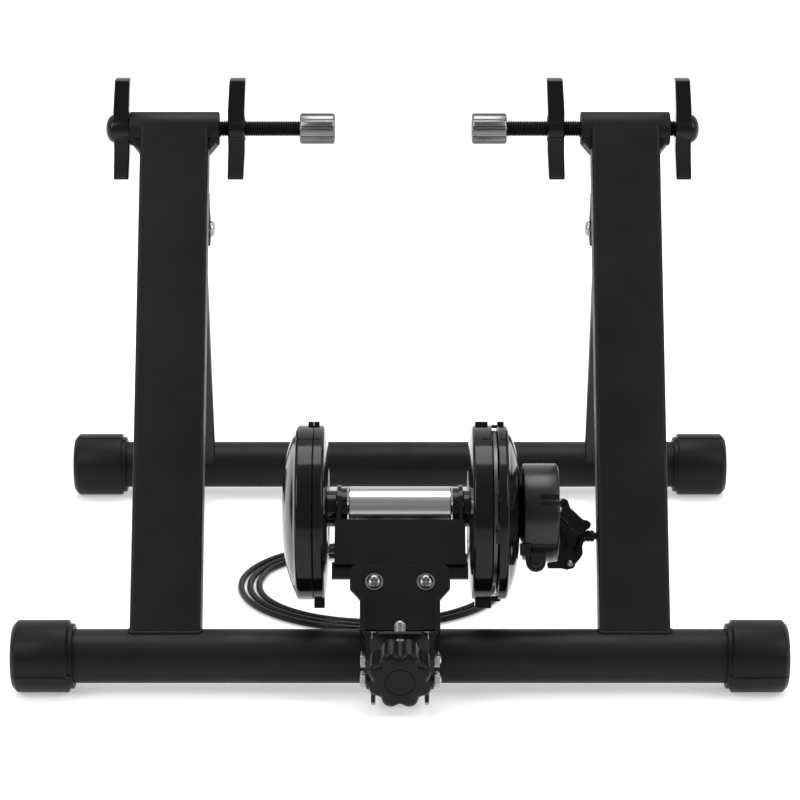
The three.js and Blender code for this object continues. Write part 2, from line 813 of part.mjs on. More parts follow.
const webFront = webBack + plateThickness;
const rollerClearance = 0.6;
const yokeFaceHeight = 34.6;
const webHalfTop = 35;
const webHalfLow = 27.8;
const webCorner = 5;
const shoulderDrop = 17.8;
const shoulderSlope = 8.6;
const flangeDrop = 2.4;
const flangeFront = 26;
const yokeTop = shaftHeight - rollerDiameter / 2 - rollerClearance;
const webTop = yokeTop - yokeFaceHeight;
const shoulderHigh = webTop - shoulderDrop;
const shoulderLow = shoulderHigh - shoulderSlope;
const flangeHigh = shoulderLow - flangeDrop;
const flangeLow = -10;
const flangeEnd = -26;
const joggleHigh = 13;
const joggleLow = boltHeadFlats / 2 + seat;
const flangeLowInner = bracketPlateOuter + seat;
const slotLobe = 7;
const slotTurn = (slotBoltAngle - 90 + unitLean) * degrees;
const slotBoltY = -slotBoltRadius * Math.sin(slotTurn);
const slotBoltZ = slotBoltRadius * Math.cos(slotTurn);
const yokeBoltX = 18;
const yokeBoltDrop = 13.3;
const yokeBoltZ = webTop - yokeBoltDrop;

// The channel that carries the unit: a face plate with shoulders and two joggled flanges
function rollerBracket() {
  const corner = webCorner;
  const face = new THREE.Shape();
  face.moveTo(-webHalfLow, webReach);
  face.lineTo(webHalfLow, webReach);
  face.lineTo(webHalfLow, shoulderLow);
  face.lineTo(webHalfTop, shoulderHigh);
  face.lineTo(webHalfTop, webTop - corner);
  face.absarc(webHalfTop - corner, webTop - corner, corner, 0, quarterTurn);
  face.absarc(corner - webHalfTop, webTop - corner, corner, quarterTurn, halfTurn);
  face.lineTo(-webHalfTop, shoulderHigh);
  face.lineTo(-webHalfLow, shoulderLow);
  const web = facePlate(face, webBack, webFront);
  const highInner = webHalfLow - plateThickness;
  const bent = outlineOf([
    [highInner, flangeHigh + plateThickness],
    [highInner, joggleHigh],
    [flangeLowInner, joggleLow],
    [flangeLowInner, flangeEnd],
    [flangeLowInner + plateThickness, flangeEnd],
    [flangeLowInner + plateThickness, joggleLow],
    [webHalfLow, joggleHigh],
    [webHalfLow, flangeHigh + plateThickness],
  ]);
  const flangeSide = new THREE.Shape();
  flangeSide.moveTo(-webBack, shoulderLow);
  flangeSide.lineTo(-webFront, shoulderLow);
  flangeSide.lineTo(-flangeFront, flangeHigh);
  flangeSide.lineTo(-flangeFront, flangeLow);
  flangeSide.absarc(slotBoltY, slotBoltZ, slotLobe, halfTurn, halfTurn * 1.75);
  flangeSide.absarc(0, 0, pivotLobe, -quarterTurn / 2, quarterTurn / 2);
  const flange = common(
    facePlate(bent, -webHalfTop, webHalfTop),
    sidePlate(flangeSide, 0, webHalfTop, cornerSteps * 2),
  );
  const boltHole = bar(boltRadius + seat, -halfSpan, halfSpan);
  const slotHole = moved(boltHole, 0, slotBoltY, slotBoltZ);
  const yokeHole = boltHole.clone().rotateZ(quarterTurn);
  return cut(
    join(web, flange, mirrored(flange)),
    boltHole,
    slotHole,
    moved(yokeHole, yokeBoltX, 0, yokeBoltZ),
    moved(yokeHole, -yokeBoltX, 0, yokeBoltZ),
  );
}

// A cross bolt with a hexagon head at one side and a nut at the other
function crossBolt(y, z) {
  const reach = flangeLowInner + plateThickness + seat;
  const shank = bar(boltRadius, -reach - screwHead, reach + screwHead + overrun / 2);
  const head = hexBar(boltHeadFlats, -reach - screwHead, -reach);
  const nut = hexBar(boltHeadFlats, reach, reach + screwHead);
  return moved(join(shank, head, nut), 0, y, z);
}

add('roller_bracket', rollerBracket(), paint, unit);
add('pivot_bolt', crossBolt(0, 0), zinc, unit);
add('slot_bolt', crossBolt(slotBoltY, slotBoltZ), zinc, unit);

// Yoke: a pressed plate with a lower lip for the bracket and two ears for the bearings
const yokeHalf = yokeEarOuter + plateThickness / 2;
const yokeEarInner = yokeEarOuter - plateThickness;
const yokeEarBack = 14;
const yokeEarRadius = 16;
const lipClearance = 0.4;
const lipDrop = 8.8;
const lipMiddleHalf = 30;
const lipMiddleDrop = 21.8;
const lipHalf = yokeEarOuter + rightCrownGap - lipClearance;
const lipHigh = webTop - lipDrop;
const lipMiddleLow = webTop - lipMiddleDrop;
const lipFront = webBack - seat;
const lipBack = lipFront - plateThickness;
const bearingOuter = 11;
const bearingShield = 0.6;
const bossRadius = 14.5;
const bearingLip = 3;

function yoke() {
  const yokeBottom = webTop + seat;
  const face = roundedBox(-yokeHalf, yokeBottom, yokeHalf, yokeTop, plateThickness / 2);
  const front = facePlate(face, webBack, webFront);
  const lip = outlineOf([
    [-lipHalf, lipHigh],
    [-lipMiddleHalf, lipHigh],
    [-lipMiddleHalf, lipMiddleLow],
    [lipMiddleHalf, lipMiddleLow],
    [lipMiddleHalf, lipHigh],
    [lipHalf, lipHigh],
    [lipHalf, yokeBottom + plateThickness],
    [-lipHalf, yokeBottom + plateThickness],
  ]);
  const lipPlate = facePlate(lip, lipBack, lipFront);
  const bend = facePlate(roundedBox(
    -yokeHalf,
    yokeBottom,
    yokeHalf,
    yokeBottom + plateThickness,
    plateThickness / 3,
  ), lipBack, webFront);
  const ear = new THREE.Shape();
  ear.moveTo(-webFront, yokeBottom);
  ear.lineTo(yokeEarBack / 2, yokeBottom);
  ear.lineTo(yokeEarBack, yokeTop);
  ear.absarc(0, shaftHeight, yokeEarRadius, 0, halfTurn);
  ear.lineTo(-webFront, yokeTop);
  const earPlate = sidePlate(ear, yokeEarInner, yokeEarOuter, cornerSteps * 2);
  const boss = moved(bar(bossRadius, bossInner, yokeEarOuter, bearingSides), 0, 0, shaftHeight);
  const seatBore = bar(bearingOuter + seat, bossInner + plateThickness / 2, halfSpan, bearingSides);
  const throughBore = bar(shaftRadius + bearingLip, 0, halfSpan);
  const bores = moved(join(seatBore, throughBore), 0, 0, shaftHeight);
  const yokeHole = bar(boltRadius + seat, -halfSpan, halfSpan).rotateZ(quarterTurn);
  return cut(
    join(front, bend, lipPlate, earPlate, mirrored(earPlate), boss, mirrored(boss)),
    bores,
    mirrored(bores),
    moved(yokeHole, yokeBoltX, 0, yokeBoltZ),
    moved(yokeHole, -yokeBoltX, 0, yokeBoltZ),
  );
}

function yokeBolt(x) {
  const head = webFront + seat;
  const back = lipBack - seat;
  const shank = bar(boltRadius, -head - screwHead, screwHead - back);
  const top = hexBar(boltHeadFlats, -head - screwHead, -head);
  const nut = hexBar(boltHeadFlats, -back, screwHead - back);
  return moved(join(shank, top, nut).rotateZ(quarterTurn), x, 0, yokeBoltZ);
}

function bearing() {
  const from = bearingInner;
  const race = ring(bearingOuter, shaftRadius + seat, from, from + bearingWidth, bearingSides);
  const shield = bearingShield;
  const groove = ring(
    bearingOuter - 2 * shield,
    shaftRadius + seat + 2 * shield,
    from + bearingWidth - shield,
    from + bearingWidth + overrun,
    bearingSides,
  );
  return moved(cut(race, groove), 0, 0, shaftHeight);
}

add('yoke', yoke(), paint, unit);
add('yoke_bolt_left', yokeBolt(-yokeBoltX), zinc, unit);
add('yoke_bolt_right', yokeBolt(yokeBoltX), zinc, unit);
addPair('bearing', bearing(), polished, unit);

// Rims, hubs and domes of the covers
const rimBevel = 2.5;
const hubHole = 9.5;
const hubCollarRadius = 13;
const brakeHubHole = 14;
const ringCrownRadius = 30;
const domeSteps = 4;
const domeFullness = 2.2;

// Roller, shaft, flywheel and rotor turn together
const rollerChamfer = 0.8;
const shaftReach = 4.25;
const shaftLeftEnd = flywheelFrom - shaftReach;
const shaftRightEnd = rightSlotOuter + shaftReach;
const flywheelHubShare = 2.4;
const flywheelRimShare = 0.72;
const rotorHubShare = 2;
const rotorHoleCount = 6;

function rollerTube() {
  const chamfer = rollerChamfer;
  const [half, outer, bore] = [rollerLength / 2, rollerDiameter / 2, shaftRadius + seat];
  const tube = revolved([
    [-half, bore],
    [-half, outer - chamfer],
    [chamfer - half, outer],
    [half - chamfer, outer],
    [half, outer - chamfer],
    [half, bore],
  ], discSides);
  return moved(tube, 0, 0, shaftHeight);
}

function rollerShaft() {
  const chamfer = rollerChamfer;
  const shaft = revolved([
    [shaftLeftEnd, 0],
    [shaftLeftEnd, shaftRadius - chamfer],
    [shaftLeftEnd + chamfer, shaftRadius],
    [shaftRightEnd - chamfer, shaftRadius],
    [shaftRightEnd, shaftRadius - chamfer],
    [shaftRightEnd, 0],
  ], smallSides);
  return moved(shaft, 0, 0, shaftHeight);
}

function flywheel() {
  const [from, to] = [flywheelFrom, flywheelTo];
  const [outer, bore] = [coverBore - coverDrop - flywheelClearance, shaftRadius + seat];
  const hub = flywheelHubShare * shaftRadius;
  const rim = flywheelRimShare * outer;
  const web = flywheelThickness / 5;
  const wheel = revolved([
    [from, bore],
    [from, hub],
    [from + web, hub],
    [from + web, rim],
    [from, rim],
    [from, outer],
    [to, outer],
    [to, rim],
    [to - web, rim],
    [to - web, hub],
    [to, hub],
    [to, bore],
  ], discSides);
  return moved(wheel, 0, 0, shaftHeight);
}

// The alloy brake rotor: a disc with a hub and a ring of cooling holes
function rotor() {
  const middle = (rightSlotInner + rightSlotOuter) / 2;
  const [from, to] = [middle - rotorThickness / 2, middle + rotorThickness / 2];
  const bore = shaftRadius + seat;
  const outer = coverBore - coverDrop - rotorClearance;
  const hub = rotorHubShare * shaftRadius;
  const disc = revolved([
    [from, bore],
    [from, outer],
    [to, outer],
    [to, hub],
    [to + rotorThickness, hub],
    [to + rotorThickness, bore],
  ], discSides);
  const holes = [];
  for (let i = 0; i < rotorHoleCount; i += 1) {
    const hole = moved(bar(shaftRadius, from - overrun, to + overrun, discHoleSides), 0, 0, outer / 2);
    holes.push(turnedX(hole, (i / rotorHoleCount) * 2 * halfTurn));
  }
  return moved(cut(disc, ...holes), 0, 0, shaftHeight);
}

add('roller', rollerTube(), polished, unit);
add('roller_shaft', rollerShaft(), zinc, unit);
add('flywheel', flywheel(), iron, unit);
add('brake_rotor', rotor(), polished, unit);

// Covers: shells of revolution whose rim sits a little below the shaft
const dropShare = coverDrop / coverRadius;

function onShaft(geometry) {
  return mapped(geometry, (point) => {
    point.z -= dropShare * Math.hypot(point.y, point.z);
    point.z += shaftHeight;
  });
}

// Points of a domed face from the rim to a radius, each as [x, radius]
function domePoints(rimX, crownX, rimRadius, toRadius) {
  const points = [];
  for (let i = 0; i <= domeSteps; i += 1) {
    const share = 1 - i / domeSteps;
    const radius = toRadius + (rimRadius - toRadius) * share;
    points.push([crownX + (rimX - crownX) * share ** domeFullness, radius]);
  }
  return points;
}

// One half shell: open at openX, domed towards crownX, with an optional recessed hub and hole
function halfShell({ openX, rimX, crownX, hubX, hole }) {
  const way = Math.sign(rimX - openX);
  const rimEdge = coverRadius - rimBevel;
  const ringRadius = hubX === undefined ? hole : ringCrownRadius;
  const outer = [[openX, coverRadius], [rimX - way * rimBevel, coverRadius]];
  outer.push(...domePoints(rimX, crownX, rimEdge, ringRadius));
  const inner = [[openX, coverRadius - coverWall], [rimX - way * rimBevel, coverRadius - coverWall]];
  const shift = way * coverWall;
  inner.push(...domePoints(rimX - shift, crownX - shift, rimEdge - coverWall, ringRadius));
  if (hubX !== undefined) {
    const shoulder = ringCrownRadius - 3 * coverWall;
    const collarEnd = way * Math.sign(hubX) < 0 ? Math.sign(hubX) * (yokeEarOuter + seat) : hubX;
    outer.push([hubX, shoulder], [hubX, hubCollarRadius], [collarEnd, hubCollarRadius], [collarEnd, hole]);
    inner.push([hubX - shift, shoulder], [hubX - shift, hole]);
  }
  return revolved([...outer, ...inner.reverse()], discSides);
}

// A raised pad on the rim, as wide as the band from x0 to x1, at an angle round the shaft
function rimPad(x0, x1, angle, width, height) {
  const low = coverRadius - coverWall;
  const pad = box(x0, -width / 2, low, x1, width / 2, coverRadius + height);
  return turnedX(pad, angle * degrees);
}

const topPad = -17.5 + unitLean;
const lowPad = 180 - 17.5 + unitLean;
const frontPad = 90 - 33 + unitLean;
const padWidth = 16;
const topPadHeight = 2.6;
const lowPadHeight = 5.5;

add('flywheel_cover_outer', onShaft(join(
  halfShell({ openX: leftSeam - seat / 2, rimX: leftRimOuter, crownX: leftCrown, hole: 0 }),
  rimPad(leftSeam - padWidth / 4, leftSeam - seat / 2, topPad, padWidth, topPadHeight),
)), gloss, unit);
add('flywheel_cover_inner', onShaft(join(
  halfShell({
    openX: leftSeam + seat / 2,
    rimX: leftRimInner,
    crownX: leftInnerCrown,
    hubX: leftHubFace,
    hole: hubHole,
  }),
  rimPad(leftSeam + seat / 2, leftSeam + padWidth / 4, topPad, padWidth, topPadHeight),
  rimPad(leftSeam + seat / 2, leftRimInner - seat, lowPad, padWidth, lowPadHeight),
)), gloss, unit);

// The brake cover keeps a slot open round the rotor, bridged by three clips
function bridge(angle, width, height, from = rightSlotInner + seat) {
  const low = coverRadius - coverWall;
  const clip = box(from, -width / 2, low + seat, rightSlotOuter + coverWall, width / 2, coverRadius + height);
  return turnedX(clip, angle * degrees);
}

add('brake_cover_inner', onShaft(join(
  halfShell({
    openX: rightSlotInner,
    rimX: rightRimInner,
    crownX: rightInnerCrown,
    hubX: rightHubFace,
    hole: hubHole,
  }),
  rimPad(rightRimInner + rimBevel, rightSlotInner - coverWall, topPad, padWidth, topPadHeight),
  rimPad(rightRimInner + coverWall, rightSlotInner, lowPad, padWidth, lowPadHeight),
)), gloss, unit);
add('brake_cover_outer', onShaft(join(
  halfShell({ openX: rightSlotOuter, rimX: rightRimOuter, crownX: rightCrown, hole: brakeHubHole }),
  rimPad(rightSlotOuter, rightRimOuter - rimBevel, topPad, padWidth, topPadHeight),
  bridge(topPad, padWidth / 2, 0),
  bridge(frontPad, padWidth / 2, coverWall / 2),
  bridge(lowPad, padWidth / 2, coverWall / 2),
)), gloss, unit);

// Magnet plate inside the outer brake cover, turned by the cable drum
const magnetCount = 8;
const magnetRadius = 6;
const magnetThickness = 1.6;
const magnetEdge = 1;
const magnetPlateClearance = 9;
const magnetPlateThickness = 2;
const magnetGap = 2.6;
const magnetFace = rightSlotOuter + magnetGap;
const magnetPlateRadius = coverBore - coverDrop - magnetPlateClearance;
const magnetRing = magnetPlateRadius - magnetEdge - magnetRadius;

function magnetPlate() {
  const from = magnetFace + magnetThickness;
  const to = from + magnetPlateThickness;
  const bore = shaftRadius + plateThickness;
  const hubRadius = brakeHubHole - plateThickness;
  const drumFace = rightCrown + plateThickness;
  let plate = revolved([
    [from, bore],
    [from, magnetPlateRadius],
    [to, magnetPlateRadius],
    [to, hubRadius],
    [drumFace, hubRadius],
    [drumFace, bore],
  ], discSides);
  for (let i = 0; i < magnetCount; i += 1) {
    const disc = moved(bar(magnetRadius, magnetFace, from + seat, discHoleSides), 0, 0, magnetRing);
    plate = join(plate, turnedX(disc, (i / magnetCount) * 2 * halfTurn));
  }
  return moved(plate, 0, 0, shaftHeight);
}

// Cable drum and its pulley groove, keyed to the magnet plate
const drumWall = 2.4;
const windowWidthShare = 0.1;
const windowLengthShare = 0.2;
const tabWidthShare = 0.14;
const tabMiddleShare = 1.35;
const tabTopShare = 0.6;
const tabLowShare = 1.06;
const tabRoundShare = 0.8;
const tabBackShare = 0.42;
const tabTilt = 8;
const pulleyRadius = 20;
const pulleyWidth = 9;
const pulleyGroove = 3;

function cablePulley() {
  const from = rightCrown + 2 * plateThickness - seat;
  const to = from + pulleyWidth;
  const slope = pulleyGroove / 2;
  const pulley = revolved([
    [from, 0],
    [from, pulleyRadius],
    [from + slope, pulleyRadius],
    [from + 2 * slope, pulleyRadius - pulleyGroove],
    [to - 2 * slope, pulleyRadius - pulleyGroove],
    [to - slope, pulleyRadius],
    [to, pulleyRadius],
    [to, 0],
  ], discSides / 2);
  const spindle = bar(shaftRadius, to - seat, drumOuter - drumWall - seat);
  const nose = bar(shaftRadius + plateThickness - seat, rightCrown - plateThickness, from + seat);
  return moved(join(pulley, spindle, nose), 0, 0, shaftHeight);
}

// Adjuster housing: a drum with a neck to the cover, a window, a lower tab and a side notch
function adjusterHousing() {
  const outer = drumDiameter / 2;
  const neck = brakeHubHole + drumWall;
  const neckFace = rightCrown + seat;
  const shell = revolved([
    [neckFace, brakeHubHole],
    [neckFace, neck],
    [drumInner, neck],
    [drumInner, outer],
    [drumOuter - drumWall, outer],
    [drumOuter, outer - drumWall],
    [drumOuter, 0],
    [drumOuter - drumWall, 0],
    [drumOuter - drumWall, outer - drumWall],
    [drumInner + drumWall, outer - drumWall],
    [drumInner + drumWall, brakeHubHole],
  ], discSides);
  const windowWidth = drumDiameter * windowWidthShare;
  const windowLength = drumDiameter * windowLengthShare;
  const window = box(
    drumOuter - windowLength,
    -outer - overrun,
    -windowWidth / 2,
    drumOuter + overrun,
    -outer + 2 * drumWall,
    windowWidth / 2,
  );
  const tabHalf = drumDiameter * tabWidthShare;
  const tabMiddle = drumInner + tabMiddleShare * tabHalf;
  const tab = new THREE.Shape();
  tab.moveTo(tabMiddle + tabHalf, -outer * tabTopShare);
  tab.absarc(tabMiddle, -outer * tabLowShare, tabHalf * tabRoundShare, 0, -halfTurn, true);
  tab.lineTo(tabMiddle - tabHalf, -outer * tabTopShare);
  const tabBack = outer * tabBackShare;
  const tabPlate = turnedX(facePlate(tab, tabBack, tabBack + 2 * drumWall), tabTilt * degrees);
  const inside = bar(outer - drumWall, drumInner + drumWall, drumOuter - drumWall, discSides);
  return moved(cut(join(shell, cut(tabPlate, inside)), window), 0, 0, shaftHeight);
}

// Cable box: a three-lobed moulding beside the drum, with two screws and the cable outlet
const boxFront = -18;
const boxBack = -42;
const topLobeReach = 6.2;
const topLobeRise = 9.5;
const topLobeRadius = 5.2;
const sideLobeInset = 0.3;
const sideLobeDrop = 6;
const sideLobeRadius = 4.8;
const lowLobeReach = 9.2;
const lowLobeDrop = 35.5;
const lowLobeRadius = 6;
const boxSideHighDrop = 12;
const boxSideLowDrop = 27;
const boxLowStep = 3.5;
const boxPanelHeight = 1.2;
const boxScrewShare = 0.62;
const boxScrewFaceShare = 0.6;
const outletDrop = 11.6;
const outletRadius = 5.5;
const outletZ = shaftHeight - outletDrop;
const boxLobes = [
  { x: boxStart + topLobeReach, z: shaftHeight + topLobeRise, radius: topLobeRadius },
  { x: boxSide - sideLobeInset, z: shaftHeight - sideLobeDrop, radius: sideLobeRadius },
  { x: boxStart + lowLobeReach, z: shaftHeight - lowLobeDrop, radius: lowLobeRadius },
];

function cableBox() {
  const [top, side, low] = boxLobes;
  const boxLow = low.z - boxLowStep;
  const boxSideLow = shaftHeight - boxSideLowDrop;
  const boxSideHigh = shaftHeight - boxSideHighDrop;
  const outline = new THREE.Shape();
  outline.moveTo(boxStart, boxLow);
  outline.absarc(low.x, low.z, low.radius, -quarterTurn * 1.2, 0);
  outline.lineTo(boxSide, boxSideLow);
  outline.lineTo(boxSide, boxSideHigh);
  outline.absarc(side.x, side.z, side.radius, -quarterTurn / 2, quarterTurn);
  outline.lineTo(top.x + top.radius, top.z - top.radius / 2);
  outline.absarc(top.x, top.z, top.radius, 0, quarterTurn * 1.5);
  outline.lineTo(boxStart, top.z);
  const body = facePlate(outline, boxBack, boxFront);
  const raised = boxPanelHeight;
  const inset = new THREE.Shape();
  inset.moveTo(boxStart + raised, boxLow + low.radius);
  inset.lineTo(low.x + low.radius / 2, low.z + low.radius);
  inset.lineTo(boxSide - low.radius, boxSideLow + low.radius);
  inset.lineTo(boxSide - low.radius, boxSideHigh);
  inset.lineTo(top.x, top.z - top.radius);
  inset.lineTo(boxStart + raised, top.z - top.radius);
  const panel = facePlate(inset, boxFront - seat, boxFront + raised);
  const middle = -(boxFront + boxBack) / 2;
  const outlet = moved(bar(outletRadius, boxSide - 2 * drumWall, outletEnd), 0, middle, outletZ);
  const bore = moved(bar(cableDiameter / 2 + seat, boxSide - drumWall, outletEnd + overrun), 0, middle, outletZ);
  return cut(join(body, panel, outlet), bore);
}

function boxScrew(lobe) {
  const head = boxFront + seat;
  const radius = lobe.radius * boxScrewShare;
  const screw = revolved([
    [-head - radius / 2, 0],
    [-head - radius / 2, radius * boxScrewFaceShare],
    [-head - radius / 4, radius],
    [-head, radius],
    [-head, 0],
  ], smallSides);
  return moved(screw.rotateZ(quarterTurn), lobe.x, 0, lobe.z);
}

add('magnet_plate', magnetPlate(), magnetFinish, unit);
add('cable_pulley', cablePulley(), mould, unit);
add('adjuster_housing', adjusterHousing(), mould, unit);
add('cable_box', cableBox(), mould, unit);
add('box_screw_top', boxScrew(boxLobes[0]), zinc, unit);
add('box_screw_low', boxScrew(boxLobes[2]), zinc, unit);

// The cable, a flexible housing that leaves the box, lies on the floor and ends in the remote.
// It is three pieces: the run down behind the upright, the loose coil, and the tail.
const cableRadius = cableDiameter / 2;
const floorLift = 0.2;
const cableFloor = cableRadius + floorLift;
const cableSides = 8;
const coilSides = 6;
const coilStepsPerTurn = 24;
const runSteps = 32;
const tailSteps = 10;
const outletLocal = new THREE.Vector3(outletEnd + seat, -(boxFront + boxBack) / 2, outletZ);
unit.updateMatrixWorld(true);
const outlet = outletLocal.applyMatrix4(unit.matrixWorld);

// A round tube through points, with an even step; its two ends are flat
function tubeAlong(points, radius, steps, sides) {
  const curve = new THREE.CatmullRomCurve3(points, false, 'centripetal');
  const shape = new THREE.Shape();
  for (let i = 0; i < sides; i += 1) {
    const angle = (i / sides) * 2 * halfTurn;
    if (i === 0) shape.moveTo(radius, 0);
    else shape.lineTo(radius * Math.cos(angle), radius * Math.sin(angle));
  }
  return new THREE.ExtrudeGeometry(shape, { steps, extrudePath: curve, bevelEnabled: false });
}

// The coil's centre line: flat loops that draw in by one pitch a turn, with straight ends
function coilPath() {
  const count = Math.round(coilTurns * coilStepsPerTurn);
  const at = (turn) => {
    const angle = -quarterTurn - turn * 2 * halfTurn;
    const inward = turn * coilPitch;
    return new THREE.Vector3(
      coilCentreX + (coilHalfWidth - inward) * Math.cos(angle),
      coilCentreY + (coilHalfDepth - inward) * Math.sin(angle),
      cableFloor,
    );
  };
  const points = [];
  for (let i = 0; i <= count; i += 1) points.push(at((i / count) * coilTurns));
  points.unshift(points[0].clone().add(new THREE.Vector3(cableDiameter, 0, 0)));
  points.push(points[points.length - 1].clone().add(new THREE.Vector3(0, cableDiameter, 0)));
  return points;
}

// Rings of points round the coil's centre line, joined into one closed tube
function coilTube(path) {
  const positions = [];
  const index = [];
  const up = new THREE.Vector3(0, 0, 1);
  path.forEach((point, i) => {
    const before = path[Math.max(i - 1, 0)];
    const after = path[Math.min(i + 1, path.length - 1)];
    const first = i === 0 ? path[1].clone().sub(point) : point.clone().sub(before);
    const last = i === path.length - 1 ? first : after.clone().sub(point);
    const ahead = i < 2 || i > path.length - 3
      ? (i < 2 ? path[1].clone().sub(path[0]) : path[path.length - 1].clone().sub(path[path.length - 2]))
      : first.normalize().add(last.normalize());
    const side = new THREE.Vector3().crossVectors(ahead, up).normalize();
    for (let k = 0; k < coilSides; k += 1) {
      const angle = (k / coilSides) * 2 * halfTurn;
      const spot = point.clone()
        .addScaledVector(side, cableRadius * Math.cos(angle))
        .addScaledVector(up, cableRadius * Math.sin(angle));
      positions.push(spot.x, spot.y, spot.z);
    }
  });
  for (let i = 0; i < path.length - 1; i += 1) {
    for (let k = 0; k < coilSides; k += 1) {
      const next = (k + 1) % coilSides;
      const [a, b] = [i * coilSides + k, i * coilSides + next];
      const [c, d] = [a + coilSides, b + coilSides];
      index.push(a, b, c, b, d, c);
    }
  }
  const last = (path.length - 1) * coilSides;
  for (let k = 1; k < coilSides - 1; k += 1) {
    index.push(0, k + 1, k);
    index.push(last, last + k, last + k + 1);
  }
  const tube = new THREE.BufferGeometry();
  tube.setAttribute('position', new THREE.Float32BufferAttribute(positions, 3));
  tube.setIndex(index);
  return tube;
}

// The least free gap between two turns, measured between points half a turn or more apart
function leastGap(path) {
  let least = Infinity;
  const apart = coilStepsPerTurn / 2;
  for (let i = 0; i < path.length; i += 1) {
    for (let j = i + apart; j < path.length - 1; j += 1) {
      const line = new THREE.Line3(path[j], path[j + 1]);
      const near = line.closestPointToPoint(path[i], true, new THREE.Vector3());
      least = Math.min(least, near.distanceTo(path[i]) - cableDiameter);
    }
  }
  return least;
}

const coil = coilPath();
const coilStart = coil[0];
const coilEnd = coil[coil.length - 1];
console.log(`cable coil: least gap between turns ${leastGap(coil).toFixed(2)} mm`);

const cableRunRoute = [
  outlet,
  outlet.clone().add(new THREE.Vector3(cableDiameter, 0, 0)),
  new THREE.Vector3(147, 63.6, 86.5),
  new THREE.Vector3(152.5, 60.8, 80.5),
  new THREE.Vector3(155.2, 57.2, 72),
  new THREE.Vector3(156, 53.2, 62),
  new THREE.Vector3(156, 49, 51),
  new THREE.Vector3(155.6, 44.6, 40),
  new THREE.Vector3(154, 40.4, 29.5),
  new THREE.Vector3(150.2, 37, 19.6),
  new THREE.Vector3(143.6, 35.4, 11.4),
  new THREE.Vector3(134.4, 36.2, 6),
  new THREE.Vector3(123, 39.8, 3.4),
  new THREE.Vector3(110, 46, cableFloor),
  new THREE.Vector3(97, 54, cableFloor),
  new THREE.Vector3(84, 62.8, cableFloor),
  new THREE.Vector3(71, 71.8, cableFloor),
  new THREE.Vector3(58, 80.4, cableFloor),
  new THREE.Vector3(44, 88.6, cableFloor),
  new THREE.Vector3(29, 95.8, cableFloor),
  new THREE.Vector3(13.5, 101.6, cableFloor),
  new THREE.Vector3(-2, coilStart.y - 0.7, cableFloor),
  coilStart.clone().add(new THREE.Vector3(seat + cableDiameter, 0, 0)),
  coilStart.clone().add(new THREE.Vector3(seat, 0, 0)),
];

// Remote: it lies on its side, with the bar clamp in front of a flat round body and its lever
const remoteRadius = remoteDiameter / 2;
const clampWall = 3.2;
const clampWidth = 15;
const clampOuter = handlebarDiameter / 2 + clampWall;
const clampGapWidth = 2.5;
const clampEar = 7;
const clampEarRoot = 1;
const remoteBodyShare = 0.9375;
const remoteBodyFront = handlebarDiameter / 2 + remoteBodyShare * clampWall;
const cableBossRadius = 4.4;
const cableBossLength = 9;
const cableBossHeight = 5.6;
const leverThickness = 6;
const leverWidth = 11;
const leverCap = 12.5;
const leverTipShare = 0.7;
const clampBoltTip = 1;
const clampBoltHeadShare = 0.95;
const remoteZ = Math.max(remoteRadius, clampOuter) + floorLift;

function remoteHousing() {
  const half = clampWidth / 2;
  const band = ring(clampOuter, handlebarDiameter / 2, -half, half, bearingSides);
  const earHalf = clampGapWidth * 2;
  const ears = box(-half, -clampOuter - clampEar, -earHalf, half, clampEarRoot - clampOuter, earHalf);
  const gap = box(-halfSpan, -halfSpan, -clampGapWidth / 2, halfSpan, -clampWall, clampGapWidth / 2);
  const body = bar(remoteRadius, 0, remoteThickness, tubeSides).rotateZ(quarterTurn);
  const disc = moved(body, 0, remoteBodyFront, 0);
  const bossFrom = remoteThickness / 2 + remoteBodyFront;
  const boss = bar(cableBossRadius, -remoteRadius - cableBossLength, 0);
  const bossZ = cableBossHeight - remoteZ;
  const hole = bar(boltRadius / 2 + seat, -halfSpan, halfSpan).rotateY(quarterTurn);
  const bore = bar(handlebarDiameter / 2, -halfSpan, halfSpan, bearingSides);
  const spindle = bar(boltRadius + seat, 0, halfSpan).rotateZ(quarterTurn);
  return moved(cut(
    join(band, ears, disc, moved(boss, 0, bossFrom, bossZ)),
    bore,
    gap,
    moved(hole, 0, -clampOuter - clampEar / 2, 0),
    moved(spindle, 0, remoteBodyFront + remoteThickness / 2, 0),
  ), remoteX, remoteY, remoteZ);
}

function remoteLever() {
  const arm = new THREE.Shape();
  const half = leverWidth / 2;
  arm.moveTo(0, -half);
  arm.lineTo(leverLength - half, -half * leverTipShare);
  arm.absarc(leverLength - half, 0, half * leverTipShare, -quarterTurn, quarterTurn);
  arm.lineTo(0, half);
  const plate = facePlate(arm, -leverThickness, 0);
  const cap = bar(leverCap, 0, leverThickness, tubeSides).rotateZ(quarterTurn);
  const pin = bar(boltRadius, -remoteThickness / 3, leverThickness / 2).rotateZ(quarterTurn);
  const face = remoteY + remoteBodyFront + remoteThickness + seat;
  return moved(join(cap, plate, pin), remoteX, face, remoteZ);
}

function clampBolt() {
  const length = clampGapWidth * 2;
  const shank = bar(boltRadius / 2, -length - clampBoltTip, length + overrun);
  const head = bar(boltRadius * clampBoltHeadShare, length + seat, length + boltRadius);
  const bolt = join(shank, head).rotateY(-quarterTurn);
  return moved(bolt, remoteX, remoteY - clampOuter - clampEar / 2, remoteZ);
}

